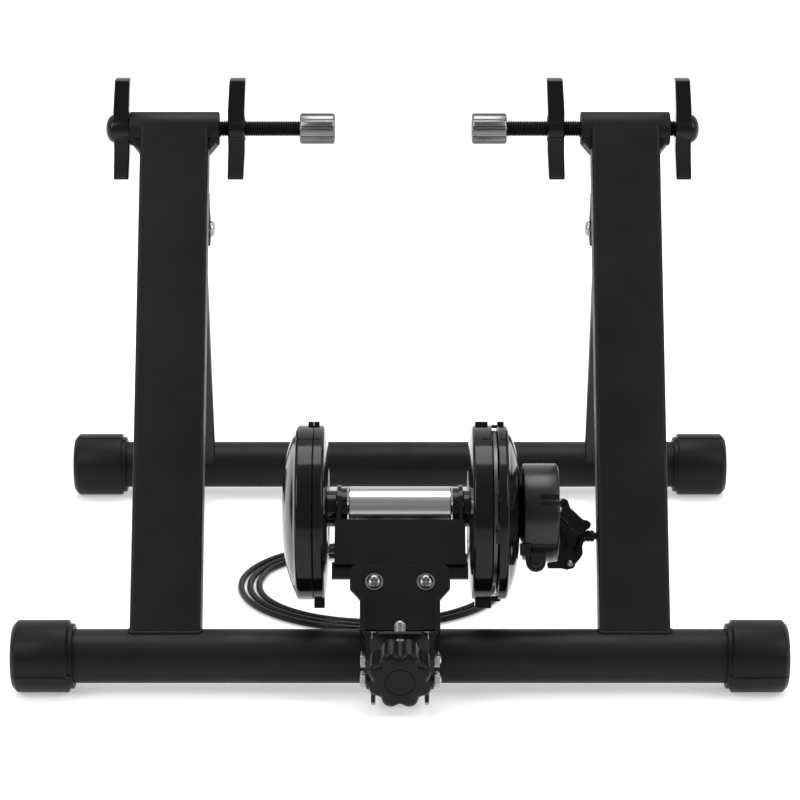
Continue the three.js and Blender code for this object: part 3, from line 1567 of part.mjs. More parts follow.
const remoteEntry = new THREE.Vector3(
  remoteX - remoteRadius - cableBossLength - seat,
  remoteY + remoteBodyFront + remoteThickness / 2,
  cableBossHeight,
);
const cableTailRoute = [
  coilEnd.clone().add(new THREE.Vector3(0, seat, 0)),
  coilEnd.clone().add(new THREE.Vector3(0, seat + cableDiameter, 0)),
  new THREE.Vector3(-104.4, 222, cableFloor),
  new THREE.Vector3(-98.6, 234, cableFloor),
  new THREE.Vector3(-89.6, 244.4, cableFloor),
  new THREE.Vector3(-78, 252.4, cableFloor),
  new THREE.Vector3(-64, 258, cableFloor + 0.3),
  new THREE.Vector3(-50, remoteEntry.y - 3.6, 3.6),
  new THREE.Vector3(-38, remoteEntry.y - 0.6, 4.8),
  remoteEntry.clone().add(new THREE.Vector3(-cableDiameter, 0, 0)),
  remoteEntry,
];

add('cable_run', tubeAlong(cableRunRoute, cableRadius, runSteps, cableSides), rubber);
add('cable_coil', coilTube(coil), rubber);
add('cable_tail', tubeAlong(cableTailRoute, cableRadius, tailSteps, cableSides), rubber);
add('remote_housing', remoteHousing(), mould);
add('remote_lever', remoteLever(), mould);
add('remote_clamp_bolt', clampBolt(), zinc);

// The origin stands on the floor under the middle of the trainer's depth.
const frontmost = frameDepth + footRadius;
const knobReach = tensionReach * Math.cos(rise) + (tensionKnobDiameter / 2) * Math.sin(rise);
model.position.y = -(frontmost + tipDepth - knobReach) / 2;

export default model;
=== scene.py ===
"""Dressed model of a folding magnetic turbo trainer: camera, cable, surfaces and fine shapes."""
import json
import math

import bmesh
import bpy
from mathutils import Matrix, Vector


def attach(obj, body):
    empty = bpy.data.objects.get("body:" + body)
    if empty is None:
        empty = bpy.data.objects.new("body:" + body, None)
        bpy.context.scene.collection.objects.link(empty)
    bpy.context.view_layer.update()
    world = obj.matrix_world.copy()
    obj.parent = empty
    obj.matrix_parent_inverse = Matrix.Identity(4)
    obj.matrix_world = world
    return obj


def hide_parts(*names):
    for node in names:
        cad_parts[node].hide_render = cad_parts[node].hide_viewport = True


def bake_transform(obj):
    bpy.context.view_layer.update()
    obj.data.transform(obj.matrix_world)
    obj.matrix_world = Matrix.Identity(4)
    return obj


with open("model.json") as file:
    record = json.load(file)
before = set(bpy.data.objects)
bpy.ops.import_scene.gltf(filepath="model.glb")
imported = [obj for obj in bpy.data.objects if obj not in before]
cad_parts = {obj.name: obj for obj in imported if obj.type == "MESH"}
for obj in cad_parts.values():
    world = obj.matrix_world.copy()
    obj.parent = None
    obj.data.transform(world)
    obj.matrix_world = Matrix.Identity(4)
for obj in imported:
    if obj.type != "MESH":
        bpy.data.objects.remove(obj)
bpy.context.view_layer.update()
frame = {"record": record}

# Sizes below are in millimetres of the trainer's own frame: X across, Y from the knob to the
# front frame, Z up. One matrix takes them to metres, with the origin under the middle.
MM = 0.001
ORIGIN_Y = 164.1213
TO_FRAME = Matrix.Translation((0, -ORIGIN_Y * MM, 0)) @ Matrix.Scale(MM, 4)

TUBE_RADIUS = 19.0
TUBE_WALL = 2.0
BASE_HEIGHT = 25.0
HALF_SPAN = 272.5
FRAME_DEPTH = 420.0
FOOT_RADIUS = 25.5
FOOT_LENGTH = 40.0
AXLE_Y, AXLE_Z = 200.0, 360.0
UPRIGHT_INNER, UPRIGHT_OUTER, UPRIGHT_THICK = 140.0, 190.0, 25.0
BARREL_START, BARREL_END, BARREL_RADIUS, BARREL_BORE = 132.5, 198.0, 12.5, 6.3
HINGE_Y, HINGE_Z = 185.0, 288.0
YOKE_FACE, YOKE_LIP = -15.6, -8.7
YOKE_BOLT_X, YOKE_BOLT_Z = 18.0, 51.5
PIVOT_Y, PIVOT_Z = -28.0, 34.0
UNIT_LEAN = math.radians(43.28)
SHAFT_Z = 115.0
COVER_RADIUS, COVER_DROP = 62.0, 3.5
OUTLET_START, OUTLET_END, OUTLET_Y, OUTLET_Z = 130.6, 139.4, 17.0, -21.0
SEAT, OVERLAP = 0.3, 0.2
SIDES = (("left", -1), ("right", 1))

UPRIGHT_RISE = AXLE_Z - BASE_HEIGHT
UPRIGHT_LEAN = math.atan2(AXLE_Y, UPRIGHT_RISE)
UPRIGHT_LENGTH = math.hypot(AXLE_Y, UPRIGHT_RISE)
UPRIGHT_PLACE = Matrix.Translation((0, 0, BASE_HEIGHT)) @ Matrix.Rotation(-UPRIGHT_LEAN, 4, "X")
UNIT_PLACE = Matrix.Translation((0, PIVOT_Y, PIVOT_Z)) @ Matrix.Rotation(-UNIT_LEAN, 4, "X")
SHAFT_PLACE = UNIT_PLACE @ Matrix.Translation((0, 0, SHAFT_Z))
FACING_TURN = Matrix.Rotation(math.radians(25.8), 4, "X")
BOX_PLACE = SHAFT_PLACE @ FACING_TURN
DRUM_PLACE = SHAFT_PLACE @ Matrix.Translation((0, 0, -COVER_DROP)) @ FACING_TURN
ALONG_Y = Matrix.Rotation(math.pi / 2, 4, "Z")
IDENTITY = Matrix.Identity(4)


def mirrored(side):
    return Matrix.Scale(side, 4, (1, 0, 0))


def axle_side(side):
    return Matrix.Translation((0, AXLE_Y, AXLE_Z)) @ mirrored(side)


# Materials

def node_material(name, color, roughness, metallic=0.0, specular=0.5):
    """A material whose Principled node is ready for the links that each finish adds."""
    material = bpy.data.materials.new(name)
    material.use_nodes = True
    shader = material.node_tree.nodes["Principled BSDF"]
    shader.inputs["Base Color"].default_value = (*color, 1)
    shader.inputs["Roughness"].default_value = roughness
    shader.inputs["Metallic"].default_value = metallic
    shader.inputs["Specular IOR Level"].default_value = specular
    return material, material.node_tree, shader


def object_coords(tree, scale=(1, 1, 1)):
    coords = tree.nodes.new("ShaderNodeTexCoord")
    mapping = tree.nodes.new("ShaderNodeMapping")
    mapping.inputs["Scale"].default_value = scale
    tree.links.new(coords.outputs["Object"], mapping.inputs["Vector"])
    return mapping.outputs["Vector"]


def noise(tree, vector, scale, detail, rough=0.55):
    texture = tree.nodes.new("ShaderNodeTexNoise")
    texture.inputs["Scale"].default_value = scale
    texture.inputs["Detail"].default_value = detail
    texture.inputs["Roughness"].default_value = rough
    tree.links.new(vector, texture.inputs["Vector"])
    return texture.outputs["Fac"]


def ramp(tree, value, low, high, socket):
    """Maps a value between two stops of (position, grey or colour) and links it to a socket."""
    node = tree.nodes.new("ShaderNodeValToRGB")
    for element, (position, color) in zip(node.color_ramp.elements, (low, high)):
        element.position = position
        element.color = (*color, 1) if isinstance(color, tuple) else (color, color, color, 1)
    tree.links.new(value, node.inputs["Fac"])
    tree.links.new(node.outputs["Color"], socket)


def bump(tree, shader, height, strength, distance):
    node = tree.nodes.new("ShaderNodeBump")
    node.inputs["Strength"].default_value = strength
    node.inputs["Distance"].default_value = distance
    tree.links.new(height, node.inputs["Height"])
    tree.links.new(node.outputs["Normal"], shader.inputs["Normal"])


def coated(name, color, roughness, specular, patches, low, high, grain=None):
    """A coat with patches in its gloss and, where it has one, a grain of fine relief."""
    material, tree, shader = node_material(name, color, roughness, specular=specular)
    vector = object_coords(tree)
    ramp(tree, noise(tree, vector, *patches), low, high, shader.inputs["Roughness"])
    if grain:
        scale, detail, strength, distance = grain
        bump(tree, shader, noise(tree, vector, scale, detail), strength, distance)
    return material


def powder_coat():
    """Satin black powder coat: fine orange peel, a soft mottle and slightly rubbed patches."""
    material, tree, shader = node_material("powder_coat", (0.004, 0.004, 0.0042), 0.5, specular=0.16)
    vector = object_coords(tree)
    ramp(tree, noise(tree, vector, 9, 4), (0.3, (0.003, 0.003, 0.0032)), (0.75, (0.006, 0.006, 0.0062)),
         shader.inputs["Base Color"])
    ramp(tree, noise(tree, vector, 26, 5, 0.65), (0.3, 0.38), (0.75, 0.56), shader.inputs["Roughness"])
    bump(tree, shader, noise(tree, vector, 900, 2), 0.16, 0.0002)
    return material


def enamel():
    """Gloss black enamel of the pressed steel: smooth, with soft waves and rubbed patches."""
    return coated("gloss_enamel", (0.0028, 0.0028, 0.003), 0.22, 0.2, patches=(30, 4),
                  low=(0.3, 0.17), high=(0.75, 0.3), grain=(70, 2, 0.12, 0.0006))


def moulded_plastic(name, color, roughness, grain, strength, specular):
    """Black moulded plastic with a fine spark-eroded grain and slight wear in the gloss."""
    return coated(name, color, roughness, specular, patches=(35, 3), low=(0.3, roughness * 0.85),
                  high=(0.7, roughness * 1.2), grain=(grain, 2, strength, 0.0002))


def gloss_plastic():
    """High-gloss black cover plastic, with faint waviness and hairline dulling."""
    return coated("gloss_black", (0.003, 0.003, 0.0034), 0.07, 0.21, patches=(60, 5),
                  low=(0.35, 0.09), high=(0.8, 0.17), grain=(40, 1, 0.05, 0.0005))


def rubber():
    """Satin black foot rubber with a soft grain."""
    return coated("foot_rubber", (0.0032, 0.0032, 0.0032), 0.45, 0.15, patches=(18, 4),
                  low=(0.3, 0.36), high=(0.75, 0.52), grain=(1400, 2, 0.12, 0.0002))


def cable_sheath():
    """The smooth black housing of the cable."""
    return coated("cable_sheath", (0.003, 0.003, 0.003), 0.3, 0.2, patches=(120, 3),
                  low=(0.3, 0.24), high=(0.7, 0.36))


def turned_metal(name, color, roughness, scale, strength, lengthwise=False):
    """Turned metal with fine rings round the shaft, or drawn metal with streaks along it."""
    material, tree, shader = node_material(name, color, roughness, 1.0)
    stretch = (2, scale, scale) if lengthwise else (scale, 6, 6)
    lines = noise(tree, object_coords(tree, stretch), 1.0, 3, 0.7)
    tone = lines if lengthwise else noise(tree, object_coords(tree), 55, 3)
    dark = tuple(channel * (0.6 if lengthwise else 0.86) for channel in color)
    ramp(tree, tone, (0.3, dark), (0.7, color), shader.inputs["Base Color"])
    ramp(tree, lines, (0.35, roughness * 0.75), (0.7, roughness * 1.35), shader.inputs["Roughness"])
    bump(tree, shader, lines, strength, 0.0001)
    return material


def zinc_plate():
    """Bright zinc: crystalline cloudiness in tone and gloss."""
    material, tree, shader = node_material("zinc_plate", (0.44, 0.445, 0.45), 0.28, 1.0)
    vector = object_coords(tree)
    cells = tree.nodes.new("ShaderNodeTexVoronoi")
    cells.inputs["Scale"].default_value = 420
    tree.links.new(vector, cells.inputs["Vector"])
    ramp(tree, cells.outputs["Distance"], (0.1, 0.2), (0.7, 0.4), shader.inputs["Roughness"])
    ramp(tree, noise(tree, vector, 160, 3), (0.3, (0.34, 0.345, 0.35)), (0.7, (0.54, 0.545, 0.55)),
         shader.inputs["Base Color"])
    return material


ENAMEL = enamel()
GRIP = moulded_plastic("grip_black", (0.003, 0.003, 0.0033), 0.3, 1600, 0.08, 0.14)
SLICK = moulded_plastic("slick_black", (0.003, 0.003, 0.0033), 0.17, 900, 0.04, 0.22)
CUP_STEEL = turned_metal("cup_steel", (0.24, 0.243, 0.246), 0.24, 900, 0.3, lengthwise=True)

MATERIAL_OF = {
    "frame_paint": powder_coat(),
    "foot_rubber": rubber(),
    "gloss_cover": gloss_plastic(),
    "moulding": moulded_plastic("moulded_black", (0.0055, 0.0055, 0.006), 0.26, 1600, 0.08, 0.34),
    "zinc": zinc_plate(),
    "polished_steel": turned_metal("ground_steel", (0.54, 0.545, 0.55), 0.17, 420, 0.5, lengthwise=True),
    "black_steel": turned_metal("black_oxide", (0.018, 0.018, 0.019), 0.33, 1500, 0.05),
    "iron": turned_metal("turned_iron", (0.10, 0.10, 0.105), 0.42, 1800, 0.1),
    "rotor_alloy": turned_metal("rotor_alloy", (0.12, 0.122, 0.124), 0.38, 2200, 0.05),
    "magnet_steel": turned_metal("nickel_plate", (0.34, 0.34, 0.35), 0.3, 1500, 0.05),
    "cable_sheath": cable_sheath(),
}
SLOT_OF = {part["node"]: part["material_slot"] for part in frame["record"]["subparts"]}
BODY_OF = {node: body for body, nodes in frame["record"]["behaviour"]["bodies"].items() for node in nodes}

for node, slot in SLOT_OF.items():
    data = bpy.data.objects[node].data
    data.materials.clear()
    data.materials.append(MATERIAL_OF[slot])


# Mesh helpers

MERGE_REACH = 0.02 * MM
FLAT_ANGLE, STRAIGHT_ANGLE = math.radians(1.5), math.radians(178)
CUT_REACH = 2 * HALF_SPAN


def linked(name, data):
    item = bpy.data.objects.new(name, data)
    bpy.context.collection.objects.link(item)
    return item


def mesh_from(bm, name, place):
    """Turns a bmesh in millimetres into a mesh in metres, put in its place."""
    bmesh.ops.recalc_face_normals(bm, faces=bm.faces)
    bmesh.ops.transform(bm, matrix=TO_FRAME @ place, verts=bm.verts)
    mesh = bpy.data.meshes.new(name)
    bm.to_mesh(mesh)
    bm.free()
    return mesh


def dressed(mesh, name, nodes, body=None, slot=None, sharp=32.0, finish=None):
    """Makes a mesh a piece that rides on a body, replaces CAD nodes and takes its finish, or else the
    material of its slot.
    """
    for polygon in mesh.polygons:
        polygon.use_smooth = True
    mesh.set_sharp_from_angle(angle=math.radians(sharp))
    piece = linked(name, mesh)
    nodes = [nodes] if isinstance(nodes, str) else list(nodes)
    slot = slot or SLOT_OF[nodes[0]]
    body = body or BODY_OF[nodes[0]]
    mesh.materials.clear()
    mesh.materials.append(finish or MATERIAL_OF[slot])
    if body != "blended":
        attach(piece, body)
    if nodes:
        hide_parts(*nodes)
    return piece


def piece_from(bm, name, nodes=(), place=IDENTITY, **options):
    return dressed(mesh_from(bm, name, place), name, nodes, **options)


def turned(profile, segments, shape=None):
    """Turns (x, radius) points about the X axis. shape(x, radius, angle) may change a point."""
    bm = bmesh.new()
    rings = []
    for x, radius in profile:
        ring = []
        count = 1 if radius == 0 else segments
        for i in range(count):
            angle = 2 * math.pi * i / segments
            along, out = shape(x, radius, angle) if shape else (x, radius)
            ring.append(bm.verts.new((along, out * math.cos(angle), out * math.sin(angle))))
        rings.append(ring)
    pairs = list(zip(rings, rings[1:]))
    if len(rings[0]) > 1 and len(rings[-1]) > 1:
        pairs.append((rings[-1], rings[0]))
    for first, second in pairs:
        for i in range(segments):
            j = (i + 1) % segments
            corners = [first[i % len(first)], first[j % len(first)],
                       second[j % len(second)], second[i % len(second)]]
            unique = list(dict.fromkeys(corners))
            if len(unique) > 2:
                bm.faces.new(unique)
    return bm


def lathe(name, profile, nodes, place, segments, shape=None, **options):
    return piece_from(turned(profile, segments, shape), name, nodes, place, **options)


def tube_profile(start, end, bore, radius, softening):
    """Profile of a tube whose edges are softened by pairs of (along, inward)."""
    near = [(start + along, radius - inward) for along, inward in softening]
    far = [(end - along, radius - inward) for along, inward in reversed(softening)]
    return [(start, bore)] + near + far + [(end, bore)]


def rounded(points, radius, steps=4):
    """Rounds the corners of a profile or outline of points by a radius, or one for each point."""
    result = []
    count = len(points)
    for i, (x, y) in enumerate(points):
        size = radius[i] if isinstance(radius, (list, tuple)) else radius
        before, after = Vector(points[i - 1]), Vector(points[(i + 1) % count])
        here = Vector((x, y))
        to_before, to_after = before - here, after - here
        turn = to_before.angle(to_after, math.pi)
        if size <= 0 or turn > STRAIGHT_ANGLE:
            result.append((x, y))
            continue
        reach = min(size / math.tan(turn / 2), to_before.length * 0.49, to_after.length * 0.49)
        start, end = here + to_before.normalized() * reach, here + to_after.normalized() * reach
        for step in range(steps + 1):
            t = step / steps
            point = start * (1 - t) ** 2 + here * (2 * t * (1 - t)) + end * t ** 2
            result.append((point.x, point.y))
    return result


def rounded_open(points, radius, steps=4):
    """Rounds the inner corners of an open profile and keeps its two ends."""
    return rounded(points, [0] + [radius] * (len(points) - 2) + [0], steps)


def outlined_box(x0, x1, y0, y1, radius=0.0, steps=5):
    return rounded([(x0, y0), (x1, y0), (x1, y1), (x0, y1)], radius, steps)


def arc(x, y, radius, start, sweep, steps):
    """Points on an arc about (x, y), from a start over a sweep in degrees, with both ends."""
    return [(x + radius * math.cos(angle), y + radius * math.sin(angle))
            for angle in (math.radians(start + sweep * i / steps) for i in range(steps + 1))]


def extruded(outline, low, high, axes):
    """Extrudes an outline along the third axis: yz along X, xz along Y or xy along Z."""
    bm = bmesh.new()
    layers = []
    for level in (low, high):
        layer = []
        for u, v in outline:
            point = {"yz": (level, u, v), "xz": (u, level, v), "xy": (u, v, level)}[axes]
            layer.append(bm.verts.new(point))
        layers.append(layer)
    count = len(outline)
    for i in range(count):
        j = (i + 1) % count
        bm.faces.new((layers[0][i], layers[0][j], layers[1][j], layers[1][i]))
    bm.faces.new(layers[0])
    bm.faces.new(list(reversed(layers[1])))
    return bm


def prism(name, outline, low, high, axes, nodes=(), sharp=40, **options):
    return piece_from(extruded(outline, low, high, axes), name, nodes, sharp=sharp, **options)


def add_ring(bm, centre, ahead, across, radius, sides):
    """Vertices round a point of a path, in the plane across the way ahead."""
    side = ahead.cross(across)
    return [bm.verts.new(centre + radius * (across * math.cos(angle) + side * math.sin(angle)))
            for angle in (2 * math.pi * k / sides for k in range(sides))]


def join_rings(bm, first, second, shift=0):
    count = len(first)
    for k in range(count):
        bm.faces.new((first[k], first[(k + 1) % count],
                      second[(shift + k + 1) % count], second[(shift + k) % count]))


def tube_mesh(path, radius, sides):
    """A round tube whose rings turn as little as they can from one to the next."""
    bm = bmesh.new()
    ahead = (path[1] - path[0]).normalized()
    across = Vector((0, 0, 1)) if abs(ahead.z) < 0.9 else Vector((0, 1, 0))
    rings = []
    for i, point in enumerate(path):
        before, after = path[max(i - 1, 0)], path[min(i + 1, len(path) - 1)]
        ahead = (after - before).normalized()
        across = (across - ahead * across.dot(ahead)).normalized()
        rings.append(add_ring(bm, point, ahead, across, radius, sides))
    for first, second in zip(rings, rings[1:]):
        join_rings(bm, first, second)
    bm.faces.new(rings[0])
    bm.faces.new(list(reversed(rings[-1])))
    return bm


def modifier(piece, kind, **values):
    added = piece.modifiers.new(kind.lower(), kind)
    for key, value in values.items():
        setattr(added, key, value)


def bevelled(piece, width, segments=3, angle=35.0):
    modifier(piece, "BEVEL", width=width * MM, segments=segments, limit_method="ANGLE",
             angle_limit=math.radians(angle), harden_normals=False, miter_outer="MITER_ARC")
    modifier(piece, "WEIGHTED_NORMAL", keep_sharp=True)
    return piece


def refined(node, width, segments=3, angle=35.0, finish=None):
    """A finer copy of a CAD piece: flat faces joined up and its edges rounded."""
    bm = bmesh.new()
    bm.from_mesh(bpy.data.objects[node].data)
    bmesh.ops.remove_doubles(bm, verts=bm.verts, dist=MERGE_REACH)
    bmesh.ops.dissolve_limit(bm, angle_limit=FLAT_ANGLE, verts=bm.verts, edges=bm.edges)
    mesh = bpy.data.meshes.new(f"{node}_fine")
    bm.to_mesh(mesh)
    bm.free()
    piece = dressed(mesh, f"{node}_fine", node, sharp=50.0, finish=finish)
    return bevelled(piece, width, segments, angle)


def cut_with(piece, bm, place):
    """Takes a bmesh's shape out of a piece."""
    cutter = linked("cutter", mesh_from(bm, "cutter", place))
    modifier(piece, "BOOLEAN", operation="DIFFERENCE", object=cutter, solver="EXACT")
    graph = bpy.context.evaluated_depsgraph_get()
    baked = bpy.data.meshes.new_from_object(piece.evaluated_get(graph))
    piece.modifiers.clear()
    piece.data = baked
    bpy.data.objects.remove(cutter, do_unlink=True)


def cut_cylinder(piece, radius, y, z):
    """Cuts a cylinder along X out of a piece."""
    profile = [(-CUT_REACH, 0), (-CUT_REACH, radius), (CUT_REACH, radius), (CUT_REACH, 0)]
    cut_with(piece, turned(profile, 96), Matrix.Translation((0, y, z)))


def cut_prism(piece, outline, low, high, axes, place):
    cut_with(piece, extruded(outline, low, high, axes), place)


def cut_cross(piece, narrow, wide, low, high, place):
    """Cuts a cross recess into a screw's head."""
    for width, tall in ((narrow, wide), (wide, narrow)):
        outline = outlined_box(-width / 2, width / 2, -tall / 2, tall / 2)
        cut_prism(piece, outline, low, high, "yz", place)


def mark_sharp(piece, angle):
    """Finds a piece's sharp edges anew after a cut."""
    piece.data.set_sharp_from_angle(angle=math.radians(angle))


# Camera

PHOTO_LENS = 132.4
SENSOR = 36.0
CAMERA_Y, CAMERA_Z = -1922.0, 820.0
CAMERA_DIP = 17.5

camera_data = bpy.data.cameras.new("photo_camera")
camera_data.lens = PHOTO_LENS
camera_data.sensor_width = SENSOR
camera_data.clip_end = 50
camera = linked("photo_camera", camera_data)
camera.matrix_world = (Matrix.Translation((0, (CAMERA_Y - ORIGIN_Y) * MM, CAMERA_Z * MM))
                       @ Matrix.Rotation(math.radians(90 - CAMERA_DIP), 4, "X"))
bpy.context.scene.camera = camera

# Cable

CABLE_DIAMETER, CABLE_SIDES, CABLE_STEP = 5.0, 14, 3.2
CABLE_FLOOR = 2.7
COIL_HALF_WIDTH, COIL_HALF_DEPTH = 104.0, 92.0
COIL_PITCH, COIL_TURNS = 7.0, 2.25
COIL_X, COIL_Y = -20.0, 198.0
COIL_STEPS, CURVE_STEPS = 48, 12
OUTLET = BOX_PLACE @ Vector((OUTLET_END, OUTLET_Y, OUTLET_Z))
REMOTE_ENTRY = Vector((-31.8, 263.1, 5.6))

RUN_POINTS = [
    (150.4, 61, 90.4), (155.8, 60.2, 85), (158.8, 58.2, 76.5), (159.6, 55.2, 66.5), (159, 51.4, 55.5),
    (157.6, 47.2, 44.5), (155.2, 43, 33.6), (151, 39.4, 23.4), (144.2, 37, 14), (134.8, 36.6, 7.2),
    (123, 39.8, 3.4), (110, 46, 2.7), (97, 54, 2.7), (84, 62.8, 2.7), (71, 71.8, 2.7),
    (58, 80.4, 2.7), (44, 88.6, 2.7), (29, 95.8, 2.7), (13.5, 101.6, 2.7), (-2, 105.3, 2.7),
]
TAIL_POINTS = [
    (-104.4, 222, 2.7), (-98.6, 234, 2.7), (-89.6, 244.4, 2.7), (-78, 252.4, 2.7), (-64, 258, 3),
    (-50, 259.5, 3.6), (-38, 262.5, 4.8),
]


def coil_points():
    points = []
    count = round(COIL_TURNS * COIL_STEPS)
    for i in range(count + 1):
        turn = COIL_TURNS * i / count
        angle = -math.pi / 2 - turn * 2 * math.pi
        inward = turn * COIL_PITCH
        points.append(Vector((COIL_X + (COIL_HALF_WIDTH - inward) * math.cos(angle),
                              COIL_Y + (COIL_HALF_DEPTH - inward) * math.sin(angle), CABLE_FLOOR)))
    return points


def smooth_path(points, step):
    """Points about a step apart on a smooth curve through the given points."""
    dense = []
    for i in range(len(points) - 1):
        p0, p1 = points[max(i - 1, 0)], points[i]
        p2, p3 = points[i + 1], points[min(i + 2, len(points) - 1)]
        for k in range(CURVE_STEPS):
            t = k / CURVE_STEPS
            dense.append(0.5 * ((2 * p1) + (p2 - p0) * t + (2 * p0 - 5 * p1 + 4 * p2 - p3) * t * t
                                + (3 * p1 - p0 - 3 * p2 + p3) * t ** 3))
    dense.append(points[-1])
    path = [dense[0]]
    travelled = 0.0
    for first, second in zip(dense, dense[1:]):
        travelled += (second - first).length
        if travelled >= step:
            path.append(second)
            travelled = 0.0
    if path[-1] != dense[-1]:
        path.append(dense[-1])
    return path


coil = coil_points()
route = [OUTLET, OUTLET + Vector((CABLE_DIAMETER, 0, 0))]
route += [Vector(point) for point in RUN_POINTS]
route += coil
route += [coil[-1] + Vector((0, CABLE_DIAMETER, 0))]
route += [Vector(point) for point in TAIL_POINTS]
route += [REMOTE_ENTRY - Vector((CABLE_DIAMETER, 0, 0)), REMOTE_ENTRY]
cable_path = smooth_path(route, CABLE_STEP)
cable = piece_from(tube_mesh(cable_path, CABLE_DIAMETER / 2, CABLE_SIDES), "remote_cable",
                   ["cable_run", "cable_coil", "cable_tail"], body="blended", sharp=60)
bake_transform(cable)

# Base tubes and feet

TUBE_END = HALF_SPAN - 5.3
GROOVE_ANGLE = math.radians(14)
GROOVE_HALF = 1.1


def base_tube(name, depth):
    profile = tube_profile(-TUBE_END, TUBE_END, TUBE_RADIUS - TUBE_WALL, TUBE_RADIUS, [(0, 0.6), (0.6, 0)])
    lathe(f"{name}_fine", profile, name, Matrix.Translation((0, depth, BASE_HEIGHT)), 128)


def foot(name, side, depth, groove):
    """A foot cap with a bevelled, slightly crowned end, a collar, a groove and a flat below."""
    end, bore = HALF_SPAN, TUBE_RADIUS + SEAT
    inner_end = end - FOOT_LENGTH
    profile = [
        (end - 5, 0), (end - 5, bore), (inner_end - 3.5, bore), (inner_end - 3.5, 22.4),
        (inner_end - 2.9, 23), (inner_end - 0.4, 23), (inner_end, 23.4), (inner_end, 24.7),
        (inner_end + 0.8, FOOT_RADIUS), (end - 4.6, FOOT_RADIUS), (end - 3.4, FOOT_RADIUS - 0.45),
        (end - 0.7, FOOT_RADIUS - 3.4), (end - 0.2, FOOT_RADIUS - 4.4), (end, 17), (end, 0),
    ]

    def grooved(x, radius, angle):
        if radius <= 20 or x >= end - 2:
            return x, radius
        off = abs((angle - groove + math.pi) % (2 * math.pi) - math.pi) * FOOT_RADIUS
        return x, radius - max(0.0, 1 - (off / GROOVE_HALF) ** 4)

    bm = turned(profile, 260, grooved)
    for vertex in bm.verts:
        vertex.co.z = max(vertex.co.z, -BASE_HEIGHT)
    place = Matrix.Translation((0, depth, BASE_HEIGHT)) @ mirrored(side)
    piece_from(bm, f"{name}_fine", name, place, sharp=28)


base_tube("rear_base_tube", 0)
base_tube("front_base_tube", FRAME_DEPTH)
for side_name, side in SIDES:
    foot(f"rear_foot_{side_name}", side, 0, math.pi + GROOVE_ANGLE)
    foot(f"front_foot_{side_name}", side, FRAME_DEPTH, math.pi / 2 + GROOVE_ANGLE)

# Uprights, legs and barrels

WELD_RADIUS, WELD_SIDES, WELD_STEP = 1.5, 8, 2.4
RIPPLE_DEPTH, RIPPLE_BEAT = 0.16, 2.1


def weld_bead(name, points, body):
    """A rippled tube along a closed line of points in millimetres."""
    bm = bmesh.new()
    rings = []
    for i, point in enumerate(points):
        ahead = (points[(i + 1) % len(points)] - points[i - 1]).normalized()
        radius = WELD_RADIUS * (1 + RIPPLE_DEPTH * math.sin(i * RIPPLE_BEAT))
        rings.append(add_ring(bm, point, ahead, ahead.orthogonal().normalized(), radius, WELD_SIDES))
    for first, second in zip(rings, rings[1:] + rings[:1]):
        shift = min(range(WELD_SIDES), key=lambda k: (first[0].co - second[k].co).length)
        join_rings(bm, first, second, shift)
    piece_from(bm, name, body=body, slot="frame_paint", sharp=80)


def densified(points, step):
    """Adds points along a closed outline so that its sides have an even step."""
    result = []
    for i, point in enumerate(points):
        after = points[(i + 1) % len(points)]
        count = max(1, round((after - point).length / step))
        result += [point.lerp(after, k / count) for k in range(count)]
    return result


def upright_seam(side):
    """The closed line where an upright's faces meet the base tube, a little outside both."""
    radius = TUBE_RADIUS + OVERLAP
    axis = UPRIGHT_PLACE.to_3x3() @ Vector((0, 0, 1))
    half = UPRIGHT_THICK / 2 + SEAT
    points = []
    for x, across in outlined_box(UPRIGHT_INNER - SEAT, UPRIGHT_OUTER + SEAT, -half, half, 3.3, 6):
        origin = UPRIGHT_PLACE @ Vector((x, across, 0))
        offset = Vector((0, origin.y, origin.z - BASE_HEIGHT))
        along = offset.dot(axis)
        beyond = offset.length_squared - radius ** 2
        root = math.sqrt(max(along * along - beyond, 0.0))
        points.append(origin + axis * (root - along))
    return [Vector((point.x * side, point.y, point.z)) for point in densified(points, WELD_STEP)]


def upright(side_name, side):
    """A rectangular bar, cut out for the base tube and the barrel, with a weld at its foot."""
    node = f"upright_{side_name}"
    half = UPRIGHT_THICK / 2
    outline = outlined_box(UPRIGHT_INNER, UPRIGHT_OUTER, -half, half, 3.0, 7)
    piece = prism(f"{node}_fine", outline, 0, UPRIGHT_LENGTH, "xy", node, sharp=30,
                  place=mirrored(side) @ UPRIGHT_PLACE)
    cut_cylinder(piece, TUBE_RADIUS - OVERLAP, 0, BASE_HEIGHT)
    cut_cylinder(piece, BARREL_RADIUS - OVERLAP, AXLE_Y, AXLE_Z)
    mark_sharp(piece, 30)
    weld_bead(f"weld_upright_base_{side_name}", upright_seam(side), BODY_OF[node])


def clamp_barrel(side_name, side):
    """A thick tube end across the top of the upright, with a wedge of weld at either face."""
    node = f"clamp_barrel_{side_name}"
    profile = tube_profile(BARREL_START, BARREL_END, BARREL_BORE, BARREL_RADIUS,
                           [(0, 0.9), (0.3, 0.25), (1, 0)])
    lathe(f"{node}_fine", profile, node, axle_side(side), 96)
    for i, (face, out) in enumerate(((UPRIGHT_INNER, -1), (UPRIGHT_OUTER, 1))):
        wedge = [(face - 0.6 * out, -9.5), (face + 6.6 * out, -9.5), (face + 6.2 * out, -11.6),
                 (face + 1.4 * out, -17.6), (face - 0.6 * out, -19.4)]
        weld = prism(f"weld_barrel_{side_name}_{i}", [(x, z + UPRIGHT_LENGTH) for x, z in wedge],
                     -7.5, 7.5, "xz", body=BODY_OF[node], slot="frame_paint",
                     place=mirrored(side) @ UPRIGHT_PLACE)
        bevelled(weld, 1.6, 4)


